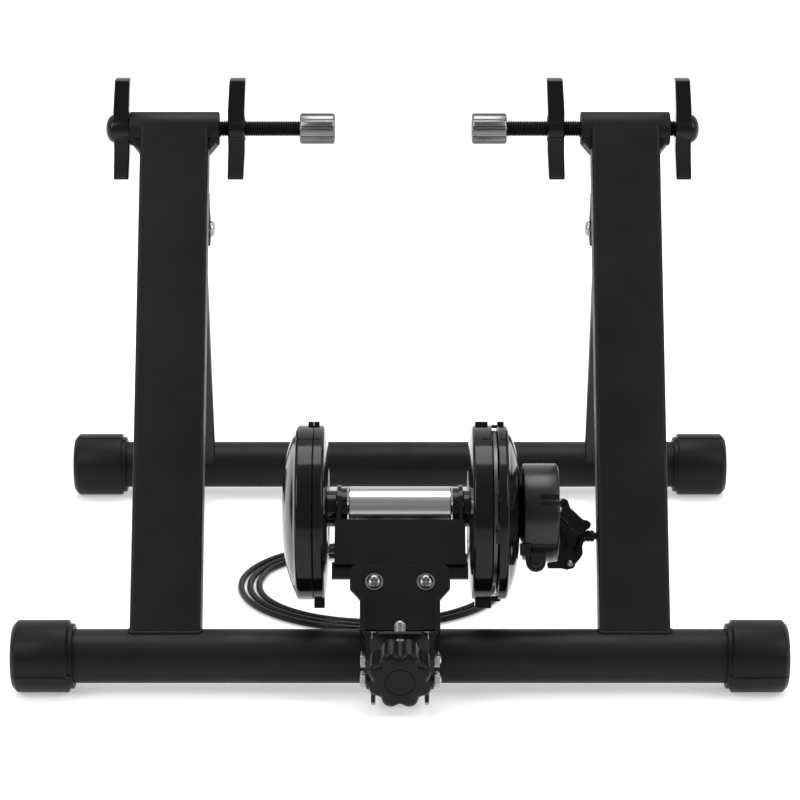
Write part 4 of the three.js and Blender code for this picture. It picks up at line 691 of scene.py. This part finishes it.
def fold_bolt(side_name, side):
    """The hinge bolt: a low domed head inside, and a shank whose end lies flush outside."""
    head, outer = UPRIGHT_INNER - SEAT, UPRIGHT_OUTER
    profile = [
        (head - 3.6, 0), (head - 3.6, 2.2), (head - 3.3, 3.9), (head - 2.4, 5.2), (head - 1.2, 5.9),
        (head - 0.3, 6.1), (head, 6.0), (head, 4), (outer - 0.9, 4), (outer - 0.5, 3.6), (outer - 0.5, 0),
    ]
    place = Matrix.Translation((0, HINGE_Y, HINGE_Z)) @ mirrored(side)
    node = f"fold_bolt_{side_name}"
    lathe(f"{node}_fine", profile, node, place, 64)


for side_name, side in SIDES:
    upright(side_name, side)
    clamp_barrel(side_name, side)
    refined(f"front_leg_{side_name}", 0.5, 2)
    refined(f"fold_bracket_{side_name}", 0.6, 2)
    fold_bolt(side_name, side)

# Axle clamps

HANDLE_REACH, HANDLE_HUB, HANDLE_THICKNESS = 36.8, 10.5, 11.5
NUT_HUB, NUT_THICKNESS, NUT_BORE = 10.0, 12.3, 6.4
ARM_ROOT, ARM_LEAN, ARM_TAPER = 0.38, 1.2, 0.04
THREAD_ROWS = 8
CUP_LENGTH, CUP_RADIUS, CUP_RIBS, RIB_DEPTH = 25.7, 11.5, 12, 0.85


def threaded(node, place, start, end, radius, pitch, depth, segments, finish=None):
    """A bar along X with a thread of a pitch and depth, a wave with flat crests and roots."""
    rows = int((end - start) / pitch * THREAD_ROWS)
    profile = [(start, 0)]
    profile += [(start + (end - start) * i / rows, radius) for i in range(rows + 1)]
    profile += [(end, 0)]

    def wound(x, bar, angle):
        if bar == 0:
            return x, bar
        phase = (x / pitch - angle / (2 * math.pi)) % 1.0
        flank = (abs(2 * phase - 1) - 0.2) / 0.6
        return x, bar - depth * min(1.0, max(0.0, flank))

    lathe(f"{node}_fine", profile, node, place, segments, wound, sharp=70, finish=finish)


def clamp_screw(side_name, side, start, end):
    threaded(f"clamp_screw_{side_name}", axle_side(side), start, end, radius=6.0, pitch=1.75,
             depth=0.95, segments=36)


def axle_cup(side_name, side, face):
    """A bright steel cup: crisp ribs round it, a bevelled rim and a deep tapered mouth."""
    length = CUP_LENGTH
    profile = [
        (14, 0), (14, 7.2), (13.6, 7.5), (2.5, 7.5), (0.2, 8.75), (0, 9.1), (0, 10.1), (0.35, 10.8),
        (1.1, 11.35), (1.9, CUP_RADIUS), (length - 1.4, CUP_RADIUS), (length - 0.5, 11.1), (length, 10.4),
        (length, 6.4), (length - 8, 6.4), (length - 8, 0),
    ]

    def ribbed(x, radius, angle):
        if radius < 10.9:
            return x, radius
        wave = math.cos(angle * CUP_RIBS)
        return x, radius - RIB_DEPTH * max(0.0, min(1.0, -0.7 - 2.6 * wave))

    node = f"axle_cup_{side_name}"
    place = axle_side(side) @ Matrix.Translation((face, 0, 0))
    lathe(f"{node}_fine", profile, node, place, 320, ribbed, sharp=34, finish=CUP_STEEL)


def quadratic(start, control, end, steps=10):
    """Points of a curve with one control point, without its start."""
    points = []
    for i in range(1, steps + 1):
        t = i / steps
        points.append(tuple((1 - t) ** 2 * a + 2 * t * (1 - t) * b + t * t * c
                            for a, b, c in zip(start, control, end)))
    return points


def armed_outline(hub):
    """Two swept arms round a hub, in (y, z), point-symmetric about the middle."""
    root, tip, sweep, reach = 8.9, 6.4, 3.4, HANDLE_REACH
    corner = tip / 2
    outer, inner, shoulder = sweep + tip, sweep - tip, reach - corner
    half = [(root, 0)]
    half += quadratic((root, 0), (root, reach / 2), (outer, shoulder))
    half += quadratic((outer, shoulder), (outer, reach), (outer - corner, reach), 5)
    half += [(inner + corner, reach)]
    half += quadratic((inner + corner, reach), (inner, reach), (inner, shoulder), 5)
    half += quadratic((inner, shoulder), (sweep - hub, reach / 2), (-root, 0))
    return half[:-1] + [(-y, -z) for y, z in half[:-1]]


def winged(node, side, start, thickness, hub, hub_profile):
    """Two arms that lean and taper beyond their roots, on a turned hub."""
    bm = extruded(armed_outline(hub), start, start + thickness, "yz")
    middle = start + thickness / 2
    for height in (-ARM_ROOT * HANDLE_REACH, ARM_ROOT * HANDLE_REACH):
        bmesh.ops.bisect_plane(bm, geom=bm.verts[:] + bm.edges[:] + bm.faces[:],
                               plane_co=(0, 0, height), plane_no=(0, 0, 1))
    for vertex in bm.verts:
        share = max(0.0, abs(vertex.co.z) / HANDLE_REACH - ARM_ROOT) / (1 - ARM_ROOT)
        lean = math.copysign(ARM_LEAN * share, vertex.co.z)
        vertex.co.x = middle + (vertex.co.x - middle) * (1 - ARM_TAPER * share) - lean
    place = axle_side(side)
    piece = piece_from(bm, f"{node}_fine", node, place, sharp=40, finish=SLICK)
    bevelled(piece, 0.9, 3, 50)
    lathe(f"{node}_hub", hub_profile, (), place, 72, body=BODY_OF[node], slot="moulding", finish=SLICK)


def clamp_handle(side_name, side, start):
    """The handle at a clamp screw's outer end, with a domed cap."""
    hub, end = HANDLE_HUB, start + HANDLE_THICKNESS
    cap = [(start + 0.2, 0), (start + 0.2, hub), (end + 0.2, hub), (end + 1.6, hub - 0.4),
           (end + 3.2, hub - 1.5), (end + 4.6, hub - 3.3), (end + 5.6, hub - 5.8),
           (end + 6.0, hub - 7.6), (end + 6.1, 0)]
    winged(f"clamp_handle_{side_name}", side, start, HANDLE_THICKNESS, hub, cap)


def lock_nut(side_name, side, start):
    """The winged nut on a clamp screw's inner side, with a raised hub."""
    raised = tube_profile(start, start + NUT_THICKNESS, NUT_BORE, NUT_HUB + 0.6, [(0, 1.0), (0.8, 0)])
    winged(f"lock_nut_{side_name}", side, start, NUT_THICKNESS, NUT_HUB, raised)


clamp_screw("left", -1, 65.7, 206.2)
clamp_screw("right", 1, 70.6, 210.0)
axle_cup("left", -1, 47.7)
axle_cup("right", 1, 52.6)
clamp_handle("left", -1, 198.3)
clamp_handle("right", 1, 202.0)
lock_nut("left", -1, 113.8)
lock_nut("right", 1, 108.2)

# Pressed steel of the unit

for node, width in (("tension_bracket", 0.9), ("roller_bracket", 1.0), ("yoke", 1.0)):
    refined(node, width, 4, 40, finish=ENAMEL)
for node in ("pivot_bolt", "slot_bolt"):
    refined(node, 0.6, 3, 40)


def yoke_bolt(side_name, side):
    """A bright pan-head screw with a cross recess, on a thin washer, and its nut behind."""
    front, back = YOKE_FACE, YOKE_LIP
    place = UNIT_PLACE @ Matrix.Translation((YOKE_BOLT_X * side, 0, YOKE_BOLT_Z)) @ ALONG_Y
    node = f"yoke_bolt_{side_name}"
    profile = [
        (front - 4.1, 0), (front - 4.05, 1.8), (front - 3.7, 3.3), (front - 3.0, 4.4), (front - 2.1, 5.0),
        (front - 1.2, 5.2), (front - 0.8, 5.2), (front - 0.8, 6.3), (front - 0.1, 6.4), (front, 6.2),
        (front, 3), (back, 3), (back, 5.2), (back + 0.5, 5.6), (back + 3.4, 5.6), (back + 4, 5.2),
        (back + 4, 0),
    ]
    piece = lathe(f"{node}_fine", profile, node, place, 48, finish=CUP_STEEL)
    cut_cross(piece, 1.3, 5.2, front - 6, front - 2.3, place)
    mark_sharp(piece, 32)


for side_name, side in SIDES:
    yoke_bolt(side_name, side)

# Roller, rotor and covers

ROLLER_HALF, ROLLER_RADIUS, ROLLER_BORE = 36.5, 15.0, 5.3
ROTOR_SHOWN = 55.5
COVER_WALL, COVER_BEVEL = 2.5, 2.5
DOME_STEPS, DOME_FULLNESS = 18, 3.0
HUB_RING, HUB_FACE, HUB_RADIUS = 30.0, 44.8, 13.0
PAD_FOOT = 59.5
TOP_PAD = -17.5 + math.degrees(UNIT_LEAN)
LOW_PAD = 162.5 + math.degrees(UNIT_LEAN)
FRONT_PAD = 86.8 + math.degrees(UNIT_LEAN)
LEFT_SEAM, SEAM_GAP = -60.9, 0.15
SLOT_INNER, SLOT_OUTER = 64.6, 68.8


def roller():
    profile = tube_profile(-ROLLER_HALF, ROLLER_HALF, ROLLER_BORE, ROLLER_RADIUS,
                           [(0, 1.1), (0.3, 0.4), (0.9, 0)])
    lathe("roller_fine", profile, "roller", SHAFT_PLACE, 128)


def rotor():
    """The alloy disc, drawn a little short of the slot's mouth, as it lies in the shade there."""
    piece = refined("brake_rotor", 0.3, 2)
    to_world = TO_FRAME @ SHAFT_PLACE
    to_shaft = to_world.inverted()
    for vertex in piece.data.vertices:
        point = to_shaft @ vertex.co
        reach = math.hypot(point.y, point.z)
        if reach > ROTOR_SHOWN:
            point.y, point.z = point.y * ROTOR_SHOWN / reach, point.z * ROTOR_SHOWN / reach
            vertex.co = to_world @ point


def lower_rim(bm):
    """Lowers a cover's points in step with their distance from the shaft."""
    for vertex in bm.verts:
        reach = math.hypot(vertex.co.y, vertex.co.z)
        vertex.co.z -= COVER_DROP / COVER_RADIUS * reach


def dome(rim_x, crown_x, rim_radius, to_radius):
    """Profile points from the rim to a radius nearer the shaft, bulging to the crown."""
    points = []
    for i in range(DOME_STEPS + 1):
        radius = rim_radius + (to_radius - rim_radius) * i / DOME_STEPS
        share = (radius - to_radius) / (rim_radius - to_radius)
        points.append((crown_x + (rim_x - crown_x) * share ** DOME_FULLNESS, radius))
    return points


def shell_profile(open_x, rim_x, crown_x, hole, hub_x=None):
    """Profile of a half shell with a rounded rim, a domed face and, where it has one, a hub."""
    way = 1 if rim_x > open_x else -1
    shift = way * COVER_WALL
    edge = COVER_RADIUS - COVER_BEVEL
    ring = HUB_RING if hub_x is not None else hole
    corner = [(rim_x - way * COVER_BEVEL * (1 - math.sin(angle)), edge + COVER_BEVEL * math.cos(angle))
              for angle in (math.radians(15 * i) for i in range(6))]
    outer = [(open_x, COVER_RADIUS - 0.5), (open_x + way * 0.5, COVER_RADIUS)] + corner
    outer += dome(rim_x, crown_x, edge, ring)
    inner = [(open_x, COVER_RADIUS - COVER_WALL), (rim_x - way * COVER_BEVEL, COVER_RADIUS - COVER_WALL)]
    inner += dome(rim_x - shift, crown_x - shift, edge - COVER_WALL, ring)
    if hub_x is not None:
        shoulder = ring - 7.5
        face = math.copysign(HUB_FACE, hub_x)
        outer += rounded_open([outer[-1], (hub_x, shoulder), (hub_x, HUB_RADIUS), (face, HUB_RADIUS),
                               (face, hole)], 0.6, 3)[1:]
        inner += [(hub_x - shift, shoulder), (hub_x - shift, hole)]
    return outer + list(reversed(inner))


def cover_pad(name, body, start, end, angle, width, height):
    """A rounded pad across the rim at an angle round the shaft, with its top edges softened."""
    soft = min(1.0, height / 2 + 0.2)
    outline = outlined_box(-width / 2, width / 2, PAD_FOOT, COVER_RADIUS + height, [0, 0, soft, soft], 4)
    bm = extruded(outline, start, end, "yz")
    bm.transform(Matrix.Rotation(math.radians(angle), 4, "X"))
    lower_rim(bm)
    pad = piece_from(bm, name, place=SHAFT_PLACE, body=body, slot="gloss_cover", sharp=35)
    bevelled(pad, 0.5, 2)


def cover(node, profile, pads):
    """A cover shell turned about the shaft, with its pads."""
    bm = turned(profile, 160)
    lower_rim(bm)
    piece_from(bm, f"{node}_fine", node, SHAFT_PLACE, sharp=35)
    for i, pad in enumerate(pads):
        cover_pad(f"{node}_tab_{i}", BODY_OF[node], *pad)


roller()
rotor()
cover("flywheel_cover_outer",
      shell_profile(LEFT_SEAM - SEAM_GAP, -73.3, -83.6, hole=0),
      [(LEFT_SEAM - 4, LEFT_SEAM - SEAM_GAP, TOP_PAD, 16, 2.6)])
cover("flywheel_cover_inner",
      shell_profile(LEFT_SEAM + SEAM_GAP, -52.9, -50.6, hole=9.5, hub_x=-54.2),
      [(LEFT_SEAM + SEAM_GAP, LEFT_SEAM + 4, TOP_PAD, 16, 2.6),
       (LEFT_SEAM + SEAM_GAP, -53.2, LOW_PAD, 16, 5.5)])
cover("brake_cover_inner",
      shell_profile(SLOT_INNER, 50.6, 48.2, hole=9.5, hub_x=51.0),
      [(53.1, 62.1, TOP_PAD, 16, 2.6), (53.1, SLOT_INNER, LOW_PAD, 16, 5.5)])
cover("brake_cover_outer",
      shell_profile(SLOT_OUTER, 76.0, 84.5, hole=14),
      [(SLOT_OUTER, 73.5, TOP_PAD, 16, 2.6), (64.9, 71.3, TOP_PAD, 8, 0.05),
       (66.2, 73.2, FRONT_PAD, 9, 1.2), (64.9, 71.3, LOW_PAD, 8, 1.2)])

# Adjuster and cable box

DRUM_NECK, DRUM_BACK, DRUM_FACE, DRUM_RADIUS = 84.8, 86.8, 112.0, 34.5
NOTCH_START = 98.6
PLATE_START, PLATE_SWEEP = 219.2, 44
LUG_X, LUG_TOP = 95.8, -24.0


def drum():
    """The adjuster's drum: a filleted neck and two notches in its end, one deep and one shallow."""
    outer, face = DRUM_RADIUS, DRUM_FACE
    profile = [(DRUM_NECK, 0), (DRUM_NECK, 17.0), (DRUM_NECK + 0.6, 19.6), (DRUM_NECK + 1.8, 22.2),
               (DRUM_BACK, 26), (DRUM_BACK, outer - 1.4), (DRUM_BACK + 0.4, outer - 0.5),
               (DRUM_BACK + 1.4, outer), (face - 1.8, outer), (face - 0.8, outer - 0.4),
               (face - 0.2, outer - 1.3), (face, outer - 2.6), (face, 24), (face - 0.6, 23.4),
               (face - 0.6, 0)]
    piece = lathe("adjuster_housing_fine", profile, "adjuster_housing", DRUM_PLACE, 192, sharp=35)
    for low, high, depth in ((10.2, 13.6, 3.4), (6.2, 8.4, 1.8)):
        surface = -math.sqrt(outer ** 2 - high ** 2)
        notch = outlined_box(NOTCH_START, face + 4, low, high)
        cut_prism(piece, notch, surface - 3, surface + depth, "xz", DRUM_PLACE)
    mark_sharp(piece, 35)


def drum_piece(name, outline, low, high, axes):
    return prism(f"adjuster_housing_{name}", outline, low, high, axes, place=DRUM_PLACE,
                 body=BODY_OF["adjuster_housing"], slot="moulding")


def adjuster():
    """The drum with a curved plate, a double lug below and a small pocket beside it."""
    drum()
    outside, inside = [arc(0, 0, radius, PLATE_START, PLATE_SWEEP, 16) for radius in (35.2, 33.6)]
    bevelled(drum_piece("plate", outside + inside[::-1], 92.4, 108.6, "yz"), 0.5)
    for name, low, radius, front, back in (("lug", -34.6, 7.0, -19.5, -9.0),
                                           ("lug_inner", -34.2, 4.4, -20.3, -8.4)):
        outline = arc(LUG_X, low, radius, 180, 180, 16)
        outline += [(LUG_X + radius, LUG_TOP), (LUG_X - radius, LUG_TOP)]
        bevelled(drum_piece(name, outline, front, back, "xz"), 0.9)
    block = drum_piece("pocket", outlined_box(84.4, 91.6, -29.6, -21.2, 0.8), -28.2, -17.0, "xz")
    cut_prism(block, outlined_box(85.8, 90.2, -28.0, -22.8, 0.4), -30, -26.2, "xz", DRUM_PLACE)
    mark_sharp(block, 40)


BOX_FRONT, BOX_BACK = 8.0, 26.0
BOX_OUTLINE = [
    (112.4, 2.4), (114.4, 4.5), (116.2, 5.8), (118.2, 5.9), (119.9, 4.8), (120.6, 2.6), (121.7, -0.4),
    (125.2, -3.6), (129.0, -7.4), (131.4, -9.3), (134.6, -9.9), (136.2, -11.2), (136.4, -13.0),
    (135.3, -15.0), (133.0, -16.6), (131.6, -18.2), (131.4, -24.8), (130.3, -27.8), (130.6, -33.4),
    (128.8, -36.6), (124.8, -41.2), (121.6, -44.2), (119.2, -44.9), (115.2, -43.9), (105.4, -43.9),
    (105.2, -39.6), (112.4, -38.6),
]
BOX_RIDGES = [
    [(113.2, -4.9), (116.4, -8.6), (120.2, -12.6)], [(120.8, -14.6), (125.0, -17.0), (129.2, -18.6)],
    [(129.9, -19.4), (128.6, -25.0), (125.4, -32.4)], [(114.6, -14.2), (116.4, -22.0), (117.6, -29.4)],
    [(117.8, 3.2), (116.6, 0.4), (114.0, -1.6)], [(129.4, -9.8), (132.6, -12.4)],
]
BOX_POCKET = [
    (121.2, -16.6), (127.8, -20.0), (126.6, -25.6), (123.6, -31.4), (119.4, -30.4), (117.8, -19.0),
]
LOW_SCREW, TOP_SCREW = (121.4, -40.3), (113.9, -1.7)


def box_screw(name, centre, radius):
    """A small bright pan head with a cross recess."""
    place = BOX_PLACE @ Matrix.Translation((centre[0], 0, centre[1])) @ ALONG_Y
    front = BOX_FRONT
    profile = [(front - 1.9, 0), (front - 1.8, radius * 0.45), (front - 1.3, radius * 0.8),
               (front - 0.5, radius), (front + 0.6, radius), (front + 0.6, 0)]
    piece = lathe(f"{name}_fine", profile, name, place, 36)
    cut_cross(piece, 0.6, radius * 1.1, front - 3, front - 1.2, place)


def box_outlet(body):
    """The ribbed outlet that the cable leaves by."""
    profile = [(OUTLET_START, 0), (OUTLET_START, 3.9)]
    for i in range(3):
        x = OUTLET_START + 0.8 + 2.6 * i
        profile += [(x, 4.0), (x + 0.3, 4.2), (x + 1.5, 4.2), (x + 1.8, 4.0), (x + 2.0, 3.7), (x + 2.4, 3.7)]
    profile += [(OUTLET_END - 0.1, 3.3), (OUTLET_END, 3.1), (OUTLET_END, 0)]
    place = BOX_PLACE @ Matrix.Translation((0, OUTLET_Y, OUTLET_Z))
    lathe("cable_box_outlet", profile, (), place, 48, body=body, slot="moulding", finish=SLICK)


def cable_box():
    """A lobed gloss moulding with raised ridges, a pocket, two screws and a ribbed outlet."""
    body = BODY_OF["cable_box"]
    piece = prism("cable_box_fine", rounded(BOX_OUTLINE, 1.2), BOX_FRONT, BOX_BACK, "xz", "cable_box",
                  place=BOX_PLACE, finish=SLICK)
    cut_prism(piece, rounded(BOX_POCKET, 1.0), BOX_FRONT - 2, BOX_FRONT + 2.4, "xz", BOX_PLACE)
    mark_sharp(piece, 40)
    bevelled(piece, 0.7, 3, 50)
    for i, line in enumerate(BOX_RIDGES):
        points = [BOX_PLACE @ Vector((x, BOX_FRONT - 0.1, z)) for x, z in line]
        piece_from(tube_mesh(smooth_path(points, 0.8), 0.95, 10), f"cable_box_ridge_{i}", body=body,
                   slot="moulding", sharp=60, finish=SLICK)
    boss = prism("cable_box_boss", arc(*LOW_SCREW, 3.9, 0, 345, 23), BOX_FRONT - 0.9, BOX_FRONT + 1,
                 "xz", place=BOX_PLACE, body=body, slot="moulding", finish=SLICK)
    bevelled(boss, 0.4, 2)
    box_outlet(body)
    box_screw("box_screw_low", LOW_SCREW, 2.5)
    box_screw("box_screw_top", TOP_SCREW, 2.3)


adjuster()
cable_box()

# Tension screw, knob and remote

SCREW_RISE = math.radians(9.5)
TIP = Vector((0, -40, 65.2))
SCREW_PLACE = Matrix.Translation(TIP) @ Matrix.Rotation(SCREW_RISE, 4, "X") @ ALONG_Y
KNOB_RADIUS, KNOB_THICKNESS, KNOB_REACH, KNOB_NECK = 22.3, 24.0, 74.6, 30.7
KNOB_LOBES, KNOB_HOLLOW = 8, 3.2


def tension_knob():
    """An eight-lobed knob with a crowned face, a fine ring line and a stepped neck."""
    front = -KNOB_REACH
    back = front + KNOB_THICKNESS
    neck = front + KNOB_NECK
    profile = [
        (front, 0), (front, 9.2), (front + 0.55, 9.5), (front + 0.55, 10.1), (front, 10.4), (front, 17.2),
        (front + 0.5, 19.4), (front + 1.4, 21.0), (front + 2.8, 22.0), (front + 4.2, KNOB_RADIUS),
        (front + 6.0, KNOB_RADIUS - 0.3), (back - 2.2, KNOB_RADIUS - 0.9), (back - 0.6, 20.7),
        (back, 19.4), (back, 13.6), (back + 0.6, 13), (neck - 0.5, 13), (neck, 12.5), (neck, 4.3),
        (front + 8, 4.3), (front + 8, 0),
    ]

    def lobed(x, radius, angle):
        if radius < 12 or x > back + 0.1:
            return x, radius
        share = min(1.0, (radius - 12) / 8)
        hollow = 0.5 * (1 - math.cos(angle * KNOB_LOBES + math.pi))
        return x, radius - KNOB_HOLLOW * share * hollow ** 1.4

    lathe("tension_knob_fine", profile, "tension_knob", SCREW_PLACE, 256, lobed, sharp=32, finish=GRIP)


def tension_screw():
    """The threaded rod and the pad at its tip."""
    threaded("tension_screw", SCREW_PLACE, 8.5 - KNOB_REACH, -4.3, radius=3.95, pitch=1.25,
             depth=0.55, segments=32, finish=CUP_STEEL)
    pad = rounded_open([(-4, 0), (-4, 4), (-2, 4), (0, 1.4), (0, 0)], 0.8)
    lathe("push_pad_fine", pad, "push_pad", SCREW_PLACE, 48, sharp=40)


tension_knob()
tension_screw()
refined("remote_housing", 0.5, 2, 40)
refined("remote_lever", 1.0, 3, 40)

# Floor and light, in metres

FLOOR_REACH, FLOOR_DROP = 9.0, 0.0002
GLOW_NEAR, GLOW_FAR = 0.4, 0.8
FRONT_LEVEL, BACK_LEVEL = 0.4, 1.0


def math_node(tree, operation, first, second):
    node = tree.nodes.new("ShaderNodeMath")
    node.operation = operation
    tree.links.new(first, node.inputs[0])
    tree.links.new(second, node.inputs[1])
    return node.outputs["Value"]


def seen_only(tree, value):
    """Keeps a value for what is seen directly, in a reflection or through glass."""
    path = tree.nodes.new("ShaderNodeLightPath").outputs
    seen = math_node(tree, "MAXIMUM", path["Is Camera Ray"], path["Is Glossy Ray"])
    seen = math_node(tree, "MAXIMUM", seen, path["Is Transmission Ray"])
    return math_node(tree, "MULTIPLY", seen, value)


def smooth_range(tree, value, low, high, to_low, to_high):
    node = tree.nodes.new("ShaderNodeMapRange")
    node.interpolation_type = "SMOOTHSTEP"
    for socket, number in (("From Min", low), ("From Max", high), ("To Min", to_low), ("To Max", to_high)):
        node.inputs[socket].default_value = number
    tree.links.new(value, node.inputs["Value"])
    return node.outputs["Result"]


def component(tree, vector, axis):
    split = tree.nodes.new("ShaderNodeSeparateXYZ")
    tree.links.new(vector, split.inputs["Vector"])
    return split.outputs[axis]


def floor_material():
    """A pale floor with a glow that grows with distance and fades out in front."""
    material, tree, shader = node_material("studio_floor", (0.8, 0.8, 0.8), 0.7, specular=0.2)
    place = object_coords(tree)
    distance = tree.nodes.new("ShaderNodeVectorMath")
    distance.operation = "LENGTH"
    tree.links.new(place, distance.inputs[0])
    rise = smooth_range(tree, distance.outputs["Value"], 0.3, 2.6, GLOW_NEAR, GLOW_FAR)
    front = smooth_range(tree, component(tree, place, "Y"), -0.75, -0.38, 0.0, 1.0)
    glow = math_node(tree, "MULTIPLY", rise, front)
    shader.inputs["Emission Color"].default_value = (1, 1, 1, 1)
    tree.links.new(seen_only(tree, glow), shader.inputs["Emission Strength"])
    return material


def studio_floor():
    corners = [(x * FLOOR_REACH, y * FLOOR_REACH, -FLOOR_DROP)
               for x, y in ((-1, -1), (1, -1), (1, 1), (-1, 1))]
    mesh = bpy.data.meshes.new("studio_floor")
    mesh.from_pydata(corners, [], [(0, 1, 2, 3)])
    mesh.materials.append(floor_material())
    return linked("studio_floor", mesh)


def area_light(name, location, target, width, height, power):
    light = bpy.data.lights.new(name, "AREA")
    light.energy = power
    light.shape = "RECTANGLE"
    light.size, light.size_y = width, height
    item = linked(name, light)
    item.location = location
    item.rotation_euler = (Vector(target) - Vector(location)).to_track_quat("-Z", "Y").to_euler()


def studio_world():
    """A studio that is white behind and above, and a light grey in front."""
    world = bpy.data.worlds.new("studio")
    world.use_nodes = True
    tree = world.node_tree
    background = tree.nodes["Background"]
    background.inputs["Color"].default_value = (1, 1, 1, 1)
    depth = component(tree, tree.nodes.new("ShaderNodeTexCoord").outputs["Generated"], "Y")
    level = smooth_range(tree, depth, -0.75, 0.15, FRONT_LEVEL, BACK_LEVEL)
    tree.links.new(level, background.inputs["Strength"])
    return world


floor = studio_floor()
area_light("key_left", (-1.6, -1.4, 1.7), (0, 0, 0.1), 0.9, 1.6, power=24)
area_light("key_right", (1.7, -1.2, 1.6), (0, 0, 0.1), 0.8, 1.6, power=20)
area_light("top", (0, 0.3, 2.4), (0, 0, 0), 1.3, 1.3, power=28)
scene = bpy.context.scene
scene.world = studio_world()
scene.view_settings.view_transform = "Standard"

bpy.context.view_layer.update()
